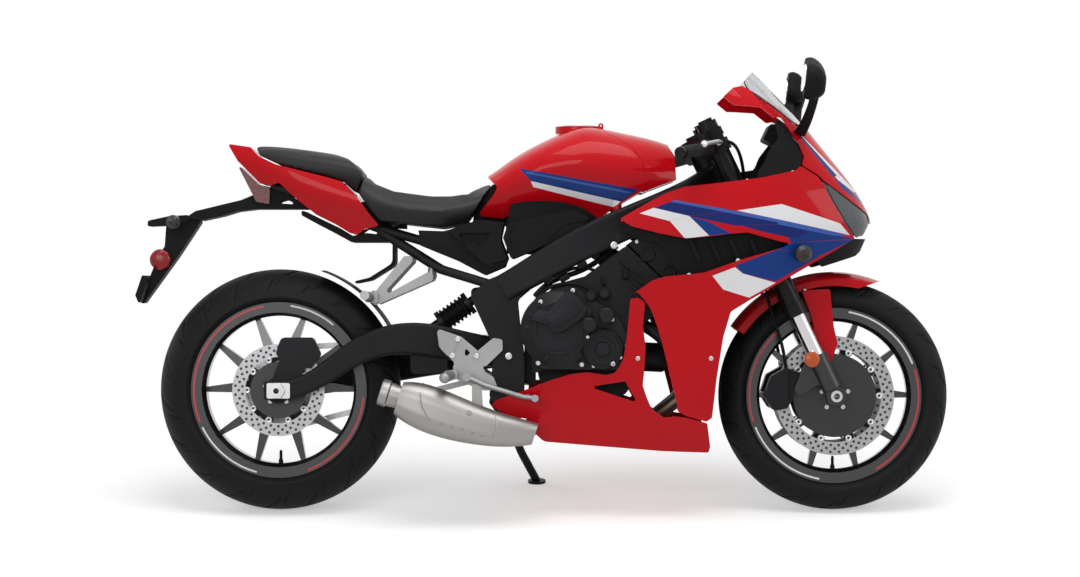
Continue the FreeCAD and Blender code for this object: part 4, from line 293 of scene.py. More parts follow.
def lacquer(name, base, patches=()):
    """Gloss body paint under a clear coat, with a livery of coloured patches drawn on the side view."""
    paint = Paint(name)
    depth = paint.noise(3.0, 3.0)
    color = paint.mix(depth * 0.35, base, tuple(c * 0.8 for c in base))
    if patches:
        x, y, z = paint.upright()
        for tint, polygons in patches:
            mask = None
            for polygon in polygons:
                part = paint.inside(polygon, x, z)
                mask = part if mask is None else mask.highest(part)
            color = paint.mix(mask, color, tint)
    shade(paint, color, paint.noise(60.0) * 0.06 + 0.34, coat=0.6, specular=0.06)
    paint.shader.inputs["Coat IOR"].default_value = 1.27
    return paint.bump(paint.noise(900.0, 1.0), 0.00004, 0.25).material


def moulded(name, value, roughness=0.55, grain=1800.0, depth=0.00012):
    """Textured black plastic."""
    paint = Paint(name)
    patchy = paint.noise(14.0, 3.0)
    color = paint.mix(patchy, (value, value, value * 1.03), (value * 1.4, value * 1.4, value * 1.44))
    shade(paint, color, patchy * 0.12 + roughness, specular=0.1)
    return paint.bump(paint.noise(grain, 2.0), depth, 0.5).material


def cast(name, value, roughness=0.42, metallic=0.0):
    """Satin paint or bare metal on a casting."""
    paint = Paint(name)
    patchy = paint.noise(9.0, 4.0)
    color = paint.mix(patchy, tuple(v * 0.8 for v in value), tuple(v * 1.25 for v in value))
    shade(paint, color, paint.noise(120.0) * 0.14 + roughness, metallic, specular=0.14)
    return paint.bump(paint.noise(700.0, 3.0), 0.00012, 0.45).material


def brushed(name, value, roughness=0.28, stretch=(1.0, 1.0, 14.0), scale=90.0):
    """Brushed metal, its grain drawn out along one direction of the bike."""
    paint = Paint(name)
    inputs = {"Vector": paint.here(turned=True), "Scale": tuple(s * MM for s in stretch)}
    grain = paint.noise(scale, 4.0, paint.node("Mapping", {}, inputs).outputs[0])
    stain = paint.noise(6.0, 3.0)
    color = paint.mix(stain, tuple(v * 0.9 for v in value), tuple(v * 1.06 for v in value))
    shade(paint, color, grain * 0.2 + roughness, 1.0)
    return paint.bump(grain, 0.00005, 0.35).material


def around_axle(paint, axle):
    """The distance from a wheel's axle in the side view, and the angle round it in turns."""
    x, y, z = paint.upright()
    dx, dz = x - axle.x, z - axle.z
    radius = (dx * dx + dz * dz).math("SQRT")
    angle = dz.math("ARCTAN2", dx) * (1 / math.tau)
    return radius, angle, y


def disc_steel(name, axle, carrier, rows):
    """Ground steel on a black carrier, with rings of drilled holes, each (radius, count, turn), painted as
    near-black spots of painted shade; the disc is not cut there.
    """
    paint = Paint(name)
    radius, angle, y = around_axle(paint, axle)
    rings = paint.node("CombineXYZ", {}, {0: radius * 0.9, 1: angle * 6.0, 2: y * 0.02}).outputs[0]
    grain = paint.noise(1.6, 5.0, rings)
    color = paint.mix(grain, (0.26, 0.26, 0.27), (0.42, 0.42, 0.43))
    carrier_and_hole_shade = 1 - radius.over(carrier, 0.6)
    # The holes are painted shade: near-black round spots on the steel, not openings.
    for row, count, start in rows:
        across = ((angle * count + (start + count)).math("FRACT") - 0.5) * (math.tau * row / count)
        off = radius - row
        carrier_and_hole_shade = carrier_and_hole_shade.highest(1 - (across * across + off * off).math("SQRT").over(3.6, 0.5))
    shade(paint, paint.mix(carrier_and_hole_shade, color, (0.008, 0.008, 0.009)), grain * 0.2 + 0.28, 1 - carrier_and_hole_shade)
    return paint.bump(grain, 0.00004, 0.3).material


def fork_leg(name):
    """The lower fork leg: hard chrome on the sliding tube and black paint on the foot below it."""
    paint = Paint(name)
    x, y, z = paint.upright()
    up = x * STEER_UP.x + z * STEER_UP.z - FRONT_AXLE.dot(STEER_UP)
    tube = up.over(CHROME_START, 0.5)
    wear = paint.noise(40.0, 4.0)
    color = paint.mix(tube, (0.010, 0.010, 0.012), (0.62, 0.62, 0.64))
    shade(paint, color, (1 - tube) * 0.22 + wear * 0.06 + 0.1, tube)
    return paint.bump(wear, 0.00003, 0.3).material


def wheel_black(name, axle, colors, red_arcs, white_arcs):
    """Gloss black wheel paint with arcs of red and white tape round the rim's edge, in degrees from ahead."""
    paint = Paint(name)
    radius, angle, y = around_axle(paint, axle)
    band = radius.over(RIM_TAPE_INNER, 0.5).lowest(1 - radius.over(RIM_TAPE_OUTER, 0.5))
    color = paint.mix(paint.noise(8.0), (0.006, 0.006, 0.007), (0.011, 0.011, 0.013))
    for tint, arcs in ((colors.red, red_arcs), (colors.white, white_arcs)):
        for start, end in arcs:
            span = angle.over(start / 360, 0.001).lowest(1 - angle.over(end / 360, 0.001))
            color = paint.mix(span.lowest(band), color, tuple(tint))
    shade(paint, color, paint.noise(90.0) * 0.08 + 0.25, coat=0.6)
    return paint.bump(paint.noise(800.0), 0.00004, 0.2).material


def tyre_rubber(name):
    paint = Paint(name)
    dust = paint.noise(22.0, 5.0)
    color = paint.mix(dust, (0.006, 0.006, 0.006), (0.012, 0.012, 0.012))
    shade(paint, color, dust * 0.2 + 0.5, specular=0.12)
    return paint.bump(paint.noise(1500.0, 3.0), 0.0001, 0.5).material


def vinyl(name):
    """Grained seat cover, with the shade of soft folds painted into its colour as broad darker and lighter
    patches.
    """
    paint = Paint(name)
    grain = paint.cells(620.0)
    fold_shade = paint.noise(11.0, 3.0)
    # Painted shade of folds: broad darker and lighter patches in the cover's colour.
    color = paint.mix(fold_shade, (0.010, 0.010, 0.011), (0.017, 0.017, 0.018))
    shade(paint, color, paint.noise(300.0) * 0.15 + 0.42, specular=0.25)
    return paint.bump(grain.lowest(0.25), 0.00035, 0.6).material


def clear(name, tint):
    """Tinted clear plastic."""
    paint = Paint(name)
    haze = paint.noise(20.0, 3.0)
    shade(paint, paint.mix(haze, tint, tuple(min(1.0, t * 1.04) for t in tint)), haze * 0.02 + 0.02)
    return paint.set(Transmission_Weight=1.0, IOR=1.46).material


def glowing_lens(name, base, optics=500.0):
    """A moulded lamp lens with fine optics, its colour darker in the grooves between the optic cells as
    painted shade.
    """
    paint = Paint(name)
    optic_cells_and_groove_shade = paint.cells(optics)
    # Painted shade: the lens colour is darker in the grooves between the optic cells.
    shade(paint, paint.mix(optic_cells_and_groove_shade, tuple(b * 0.6 for b in base), base), 0.1, coat=0.3, specular=0.2)
    return paint.bump(optic_cells_and_groove_shade.lowest(0.3), 0.0012, 0.6).material


def mirror_glass(name):
    paint = Paint(name)
    haze = paint.noise(30.0)
    silver = paint.mix(haze, (0.86, 0.88, 0.9), (0.9, 0.92, 0.94))
    return shade(paint, silver, haze * 0.02 + 0.01, 1.0).material


SIDE_BLUE = [
    [(1060, 765), (1113, 715), (1170, 720), (1110, 752)],
    [(1180, 638), (1290, 680), (1405, 665), (1285, 597), (1200, 618)],
    [(1290, 680), (1325, 697), (1497, 707), (1405, 665)],
    [(1318, 707), (1345, 735), (1497, 708), (1325, 697)],
]
SIDE_NAVY = [
    [(970, 785), (1025, 805), (1185, 778), (1060, 765)],
    [(1060, 765), (1185, 778), (1330, 746), (1180, 740)],
    [(1180, 740), (1330, 746), (1370, 722), (1318, 706), (1250, 725)],
]
SIDE_SKY = [
    [(1016, 801), (1025, 806), (1300, 756), (1300, 747)],
    [(1290, 757), (1480, 717), (1440, 715), (1290, 744)],
]
SIDE_WHITE = [
    [(936, 772), (972, 786), (1062, 765), (1013, 752)],
    [(1013, 752), (1062, 765), (1113, 715), (1052, 707)],
    [(1185, 779), (1300, 796), (1455, 747), (1482, 717)],
    [(1122, 612), (1180, 634), (1200, 618), (1150, 577)],
    [(1200, 618), (1285, 594), (1217, 556), (1150, 577)],
]
TANK_BLUE = [[(627, 890), (935, 834), (885, 802), (657, 857)]]
TANK_SKY = [[(642, 882), (918, 829), (912, 824), (648, 876)]]
TANK_WHITE = [[(657, 857), (890, 804), (871, 790), (663, 842)]]
NOSE_BLUE = [[(1438, 873), (1456, 859), (1500, 834), (1527, 796), (1466, 836)]]
NOSE_LINE = [[(1345, 985), (1352, 982), (1452, 872), (1440, 868)]]
NOSE_SKY = [[(1345, 990), (1351, 985), (1504, 833), (1499, 829), (1456, 859), (1440, 876)]]


def body_paints(colors):
    """The lacquer of each group of body panels."""
    chosen = (colors.red, colors.blue, colors.navy, colors.sky, colors.white)
    red, blue, navy, sky, white = (tuple(c) for c in chosen)
    side = [(blue, SIDE_BLUE), (navy, SIDE_NAVY), (sky, SIDE_SKY), (white, SIDE_WHITE)]
    return {
        "plain": lacquer("red_paint", red),
        "side": lacquer("side_livery", red, side),
        "tank": lacquer("tank_livery", red, [(blue, TANK_BLUE), (sky, TANK_SKY), (white, TANK_WHITE)]),
        "nose": lacquer("nose_livery", red, [(white, NOSE_SKY), (blue, NOSE_BLUE), (blue, NOSE_LINE)]),
    }


PAINTED = {
    "plain": ("lower_cowl", "front_fender", "tail_cowl", "tank_front_cover"),
    "side": ("side_cowl_right", "side_cowl_left"),
    "tank": ("fuel_tank",),
    "nose": ("upper_cowl",),
}


def finish_nodes(material, *names):
    for name in names:
        mesh = NODES[name].data
        mesh.materials.clear()
        mesh.materials.append(material)


# Mesh tools


def add_piece(name, bm, body, material, replaces=(), smooth=35.0):
    """Turns a bmesh drawn in the bike frame into a piece of the scene that rides on a body."""
    bmesh.ops.transform(bm, matrix=BIKE, verts=bm.verts)
    bmesh.ops.recalc_face_normals(bm, faces=bm.faces)
    mesh = bpy.data.meshes.new(name)
    bm.to_mesh(mesh)
    bm.free()
    return place_mesh(name, mesh, body, material, replaces, smooth)


def place_mesh(name, mesh, body, material, replaces=(), smooth=35.0):
    mesh.materials.clear()
    mesh.materials.append(material)
    mesh.polygons.foreach_set("use_smooth", [True] * len(mesh.polygons))
    if smooth:
        mesh.set_sharp_from_angle(angle=math.radians(smooth))
    obj = bpy.data.objects.new(name, mesh)
    bpy.context.scene.collection.objects.link(obj)
    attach(obj, body)
    if replaces:
        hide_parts(*replaces)
    return obj


def axis_matrix(base, axis):
    """Takes a shape built along z to a base point and an axis."""
    return Matrix.Translation(base) @ Vector(axis).to_track_quat("Z", "Y").to_matrix().to_4x4()


def turned(bm, profile, base, axis, steps=24):
    """Adds a piece turned about an axis from its closed (radius, height) profile."""
    own = bmesh.new()
    verts = [own.verts.new((r, 0, h)) for r, h in profile]
    edges = [own.edges.new(pair) for pair in zip(verts, verts[1:])]
    turn = {"cent": (0, 0, 0), "axis": (0, 0, 1), "angle": math.tau, "steps": steps, "use_merge": True}
    bmesh.ops.spin(own, geom=verts + edges, **turn)
    bmesh.ops.remove_doubles(own, verts=own.verts, dist=0.01)
    merge(bm, own, axis_matrix(base, axis))


def merge(bm, own, matrix=Matrix.Identity(4)):
    """Adds one bmesh to another and frees it."""
    own.transform(matrix)
    mesh = bpy.data.meshes.new("part")
    own.to_mesh(mesh)
    own.free()
    bm.from_mesh(mesh)
    bpy.data.meshes.remove(mesh)


def cap_bolt(bm, base, axis, radius=5.0, height=4.0):
    """A socket-headed bolt."""
    dip = radius * 0.5
    floor = height * 0.45
    socket = [(0, floor), (dip * 0.9, floor), (dip, height)]
    profile = socket + [(radius * 0.86, height), (radius, height - 0.8), (radius, -0.5)]
    turned(bm, profile, base, axis, 12)


def soften(bm, edges, width):
    """Rounds some edges."""
    bmesh.ops.bevel(bm, geom=edges, offset=width, affect="EDGES", segments=2, profile=0.5, material=-1)


def hex_nut(bm, base, axis, radius=10.0, height=8.0):
    own = bmesh.new()
    bmesh.ops.create_cone(own, cap_ends=True, segments=6, radius1=radius, radius2=radius, depth=height)
    soften(own, own.edges[:], radius * 0.06)
    bmesh.ops.translate(own, vec=(0, 0, height / 2), verts=own.verts)
    merge(bm, own, axis_matrix(base, axis))


def tube(bm, points, radius, sides=10, steps=8):
    """A round hose along a smooth line through points."""
    curve = bpy.data.curves.new("hose", "CURVE")
    curve.dimensions = "3D"
    spline = curve.splines.new("NURBS")
    spline.points.add(len(points) - 1)
    for point, place in zip(spline.points, points):
        point.co = (*place, 1.0)
    spline.order_u = min(4, len(points))
    spline.use_endpoint_u = True
    spline.resolution_u = steps
    curve.bevel_depth = radius
    curve.bevel_resolution = max(1, sides // 4)
    curve.use_fill_caps = True
    obj = bpy.data.objects.new("hose", curve)
    mesh = bpy.data.meshes.new_from_object(obj)
    own = bmesh.new()
    own.from_mesh(mesh)
    bmesh.ops.remove_doubles(own, verts=own.verts, dist=0.01)
    merge(bm, own)
    bpy.data.objects.remove(obj)
    bpy.data.curves.remove(curve)
    bpy.data.meshes.remove(mesh)


def block(bm, centre, size, axis_x=(1, 0, 0), axis_z=(0, 0, 1), bevel=1.5):
    """A rounded block turned to two axes."""
    own = bmesh.new()
    bmesh.ops.create_cube(own, size=1.0)
    bmesh.ops.scale(own, vec=size, verts=own.verts)
    soften(own, own.edges[:], bevel)
    x = Vector(axis_x).normalized()
    z = Vector(axis_z).normalized()
    y = z.cross(x).normalized()
    merge(bm, own, Matrix.Translation(centre) @ Matrix((x, y, x.cross(y))).transposed().to_4x4())


def steered(up, side=0.0, ahead=0.0):
    """A point by its height up the steering axis, its side and its place ahead of that axis."""
    return STEER_BASE + STEER_UP * (up - 600.0) + ACROSS * side + STEER_AHEAD * ahead


class BIKE_OT_paint(bpy.types.Operator):
    """Give every carried-over part its paint, metal, plastic or glass."""

    bl_idname = "sport_bike.paint"
    bl_label = "Paint the bike"

    def execute(self, context):
        colors = context.scene.bike_paint
        paints = body_paints(colors)
        for key, names in PAINTED.items():
            finish_nodes(paints[key], *names)
        finish_nodes(
            cast("frame_satin", (0.008, 0.008, 0.0095), 0.4),
            "main_frame", "subframe", "swingarm", "side_stand", "lower_yoke", "upper_yoke",
        )
        engine = cast("engine_black", (0.009, 0.009, 0.0105), 0.46)
        finish_nodes(engine, "engine_block", "cylinder_head", "radiator")
        covers = cast("cover_black", (0.013, 0.013, 0.015), 0.38)
        finish_nodes(covers, "right_engine_cover", "left_engine_cover")
        calipers = cast("caliper_black", (0.01, 0.01, 0.012), 0.32)
        finish_nodes(calipers, "front_calipers", "rear_caliper", "shock")
        finish_nodes(cast("fork_black", (0.008, 0.008, 0.009), 0.2), "fork_outers", "handlebars")
        finish_nodes(
            moulded("plastic_black", 0.0055),
            "inner_fender", "plate_hanger", "cockpit_panel", "inner_cowls",
            "chain_guard", "side_covers", "mirrors", "hand_controls",
        )
        can = brushed("silencer_steel", (0.30, 0.29, 0.28), 0.36, (1.0, 14.0, 14.0), 60.0)
        finish_nodes(can, "silencer")
        finish_nodes(brushed("header_steel", (0.16, 0.12, 0.09), 0.34), "exhaust_headers")
        finish_nodes(brushed("steel", (0.5, 0.5, 0.51), 0.25), "front_axle", "rear_axle", "chain")
        finish_nodes(fork_leg("fork_leg"), "fork_inners")
        alloy = cast("bare_alloy", tuple(colors.silver), 0.34, 1.0)
        finish_nodes(alloy, "hand_levers", "rear_sprocket", "fuel_cap")
        pegs = cast("peg_alloy", (0.27, 0.27, 0.275), 0.46, 1.0)
        finish_nodes(pegs, "footpeg_hangers", "pillion_hangers")
        front_rows = ((129.0, 40, 0.0), (138.0, 40, 0.5), (147.0, 40, 0.0))
        rear_rows = ((94.0, 30, 0.0), (103.0, 30, 0.5), (112.0, 30, 0.0))
        finish_nodes(disc_steel("front_disc_steel", FRONT_AXLE, FRONT_CARRIER, front_rows), "front_discs")
        finish_nodes(disc_steel("rear_disc_steel", REAR_AXLE, REAR_CARRIER, rear_rows), "rear_disc")
        front_red, front_white = ((-60, 18), (130, 180), (-180, -162)), ((22, 80), (-158, -100))
        rear_red, rear_white = ((100, 180), (-180, -158), (-70, -5)), ((50, 82), (-154, -105))
        front = wheel_black("front_wheel_black", FRONT_AXLE, colors, front_red, front_white)
        rear = wheel_black("rear_wheel_black", REAR_AXLE, colors, rear_red, rear_white)
        finish_nodes(front, "front_rim")
        finish_nodes(rear, "rear_rim")
        finish_nodes(tyre_rubber("tyre_rubber"), "front_tyre", "rear_tyre")
        finish_nodes(moulded("grip_rubber", 0.018, 0.7, 900.0, 0.0006), "grips")
        finish_nodes(vinyl("seat_vinyl"), "rider_seat", "pillion_seat")
        finish_nodes(glowing_lens("tail_red", (0.22, 0.002, 0.004)), "tail_light")
        finish_nodes(glowing_lens("lamp_smoke", (0.03, 0.022, 0.02)), "turn_lamps")
        finish_nodes(clear("screen_smoke", (0.72, 0.74, 0.76)), "windscreen")
        finish_nodes(glowing_lens("headlight_dark", (0.12, 0.125, 0.135)), "headlights")
        return {"FINISHED"}


# Places on the parts' own surfaces


TREES = {}


def surface_tree(node):
    """A part's surface for finding points on it, in the bike frame."""
    if node not in TREES:
        mesh = NODES[node].data
        back = BIKE.inverted() @ NODES[node].matrix_world
        places = [back @ v.co for v in mesh.vertices]
        TREES[node] = BVHTree.FromPolygons(places, [tuple(f.vertices) for f in mesh.polygons])
    return TREES[node]


def seat(x, z, nodes, side=-1):
    """Where a side-view point meets the outermost of some parts, seen from one side, and the way out there.

    A point that just misses them goes to their nearest surface.
    """
    best = None
    for node in nodes:
        eye, sight = Vector((x, side * 900.0, z)), Vector((0, -side, 0))
        place, normal = surface_tree(node).ray_cast(eye, sight)[:2]
        if place is not None and (best is None or abs(place.y) > abs(best[0].y)):
            best = (place, normal if normal.y * side > 0 else -normal)
    if best is None:
        near = [surface_tree(node).find_nearest(Vector((x, side * 180.0, z))) for node in nodes]
        place, normal = min(near, key=lambda found: found[3])[:2]
        best = (place, normal if normal.y * side > 0 else -normal)
    return best


def traced(points, nodes, lift=0.0, side=-1, step=14.0):
    """A side-view line laid on the surface of some parts, a little proud of it."""
    places = []
    for a, b in zip(points, points[1:]):
        count = max(1, round(math.hypot(b[0] - a[0], b[1] - a[1]) / step))
        for i in range(count):
            t = i / count
            places.append((a[0] + (b[0] - a[0]) * t, a[1] + (b[1] - a[1]) * t))
    places.append(points[-1])
    line = []
    for x, z in places:
        place, normal = seat(x, z, nodes, side)
        line.append(place + normal * lift)
    return line


def bolts_at(bm, places, nodes, side=-1, radius=5.0, height=4.0, straight=False):
    """Socket bolts seated on the surface at side-view points."""
    for x, z in places:
        place, normal = seat(x, z, nodes, side)
        cap_bolt(bm, place, (0, side, 0) if straight else normal, radius, height)


def flat_plate(bm, outline, y, thickness, bevel=1.0):
    """A plate with a side-view outline whose outer face lies at y."""
    side = 1 if y > 0 else -1
    own = bmesh.new()
    face = own.faces.new([own.verts.new((x, y - side * thickness, z)) for x, z in outline])
    pushed = bmesh.ops.extrude_face_region(own, geom=[face])
    verts = [v for v in pushed["geom"] if isinstance(v, bmesh.types.BMVert)]
    bmesh.ops.translate(own, vec=(0, side * thickness, 0), verts=verts)
    rim = [e for e in own.edges if all(v in verts for v in e.verts)]
    bmesh.ops.recalc_face_normals(own, faces=own.faces)
    soften(own, rim, bevel)
    merge(bm, own)


# Tyres


def quadratic(a, b, c, t):
    """A smooth line through three points, met at 0, a half and 1."""
    weights = ((1 - t) * (1 - 2 * t), 4 * t * (1 - t), t * (2 * t - 1))
    return tuple(sum(w * p[i] for w, p in zip(weights, (a, b, c))) for i in range(2))


def tyre_section(radius, width, rim_width, crown):
    """A tyre's closed (radius, y) section, and where in it the tread starts and how many points it has."""
    half, rim_half = width / 2, rim_width / 2
    flange, bead, wall = RIM_FLANGE, RIM_BEAD, TYRE_WALL
    shoulder = radius - crown + math.sqrt(crown**2 - half**2)
    reach = math.asin(half / crown)
    steps, flank = 60, 8
    sweep = [-reach + 2 * reach * i / steps for i in range(steps + 1)]
    tread = [(radius - crown + crown * math.cos(a), crown * math.sin(a)) for a in sweep]
    ends = (shoulder, half), ((shoulder + flange) / 2, half + 1), (flange, rim_half - 1)
    right = [quadratic(*ends, i / flank) for i in range(1, flank + 1)]
    toe = [(flange, rim_half - 8), (bead, rim_half - 8), (bead, rim_half - 17), (flange, rim_half - 17)]
    left = [(r, -y) for r, y in reversed(right + toe)]
    inner_reach = math.asin((half - wall) / crown)
    inner_sweep = [inner_reach * (1 - i / 5) for i in range(11)]
    inside = [(radius - crown - wall + crown * math.cos(a), crown * math.sin(a)) for a in inner_sweep]
    return left + tread + right + toe + inside, len(left), len(tread)


def smooth_step(value):
    value = min(1.0, max(0.0, value))
    return value * value * (3 - 2 * value)


def groove_depth(angle, across, radius, settings):
    """How deep the tread is cut at an angle round the tyre and a place from -1 to 1 across its crown."""
    pitch = math.tau * radius / settings.pitch_count
    around = angle / math.tau * settings.pitch_count + (0.5 if across > 0 else 0.0)
    place = abs(across)
    deepest = 0.0
    for offset, start, end, sweep, share in ((0.0, 0.08, 0.74, 0.95, 1.0), (0.42, 0.5, 0.93, 0.5, 0.7)):
        middle = offset + sweep * place**1.35
        gap = abs((around - middle + 0.5) % 1 - 0.5) * pitch * 0.8
        along = (place - start) / (end - start)
        width = settings.groove_width * share * (0.55 + 0.45 * math.sin(math.pi * min(1.0, max(0.0, along))))
        ends = smooth_step((place - start) / 0.05) * smooth_step((end - place) / 0.05)
        deepest = max(deepest, ends * smooth_step((width / 2 - gap) / 1.6 + 0.5))
    return deepest * settings.groove_depth


def build_tyre(name, axle, sizes, body, settings):
    """One tyre with grooves cut in its crown."""
    section, first, count = tyre_section(*sizes)
    radius, width = sizes[:2]
    bm = bmesh.new()
    layer = bm.verts.layers.float.new("across")
    verts = [bm.verts.new((r, y, 0)) for r, y in section]
    edges = [bm.edges.new(pair) for pair in zip(verts, verts[1:] + verts[:1])]
    for i, vert in enumerate(verts):
        on_tread = first <= i < first + count
        vert[layer] = (2 * (i - first) / (count - 1) - 1) if on_tread else 9.0
    turn = {"cent": (0, 0, 0), "axis": (0, 1, 0), "angle": math.tau, "steps": TYRE_STEPS, "use_merge": True}
    bmesh.ops.spin(bm, geom=verts + edges, **turn)
    for vert in bm.verts:
        if abs(vert[layer]) <= 1:
            depth = groove_depth(math.atan2(vert.co.z, vert.co.x) + math.pi, vert[layer], radius, settings)
            out = Vector((vert.co.x, 0, vert.co.z)).normalized()
            vert.co -= (out * 0.9 + Vector((0, vert.co.y / width, 0))) * depth
    bmesh.ops.translate(bm, vec=axle, verts=bm.verts)
    add_piece(name + "_treaded", bm, body, bpy.data.materials["tyre_rubber"], (name,), 50.0)


class BIKE_OT_tyres(bpy.types.Operator):
    """Cut the tread into both tyres."""

    bl_idname = "sport_bike.tyres"
    bl_label = "Cut the tread"

    def execute(self, context):
        settings = context.scene.bike_tyres
        build_tyre("front_tyre", FRONT_AXLE, FRONT_TYRE, "front_wheel", settings)
        build_tyre("rear_tyre", REAR_AXLE, REAR_TYRE, "rear_wheel", settings)
        return {"FINISHED"}


# Wheels and brakes


def round_face(centre, radius, degrees, y):
    turn = math.radians(degrees)
    return Vector((centre.x + radius * math.cos(turn), y, centre.z + radius * math.sin(turn)))


def disc_hardware(bm, axle, faces, bobbins):
    """The bobbins between each disc and its carrier, and the bolts that hold the carrier to the hub."""
    ring = [(3.5, 0.0), (3.5, 1.6), (6.0, 2.2), (8.0, 1.2), (8.0, 0.0)]
    for y in faces:
        out = (0, 1 if y > 0 else -1, 0)
        for i in range(10):
            turned(bm, ring, round_face(axle, bobbins, i * 36, y), out, 16)
        for i in range(5):
            cap_bolt(bm, round_face(axle, HUB_BOLTS, 90 + i * 72, y), out, 6.0, 5.0)


class BIKE_OT_wheel_hardware(bpy.types.Operator):
    """Add the discs' bobbins, the hub bolts, the sprocket's nuts and the valves."""

    bl_idname = "sport_bike.wheel_hardware"
    bl_label = "Add wheel hardware"

    def execute(self, context):
        steel = bpy.data.materials["steel"]
        bm = bmesh.new()
        disc_hardware(bm, FRONT_AXLE, (-FRONT_DISC_FACE, FRONT_DISC_FACE), FRONT_BOBBINS)
        add_piece("front_disc_hardware", bm, "front_wheel", steel)
        bm = bmesh.new()
        disc_hardware(bm, REAR_AXLE, (-REAR_DISC_FACE,), REAR_BOBBINS)
        for i in range(5):
            hex_nut(bm, round_face(REAR_AXLE, 48.0, 18 + i * 72, 110.5), (0, 1, 0), 9.0, 8.0)
        add_piece("rear_disc_hardware", bm, "rear_wheel", steel)
        stem = [(0, 0), (6, 0), (6, 10), (4, 14), (4, 30), (3, 36), (0, 36)]
        for name, axle, body in (("front", FRONT_AXLE, "front_wheel"), ("rear", REAR_AXLE, "rear_wheel")):
            bm = bmesh.new()
            foot = round_face(axle, 196.0, -90, 0)
            turned(bm, stem, foot, (0, 0, 1), 12)
            add_piece(name + "_valve", bm, body, bpy.data.materials["tyre_rubber"])
        return {"FINISHED"}


# Engine


ENGINE_SIDE = ("right_engine_cover", "engine_block", "cylinder_head")


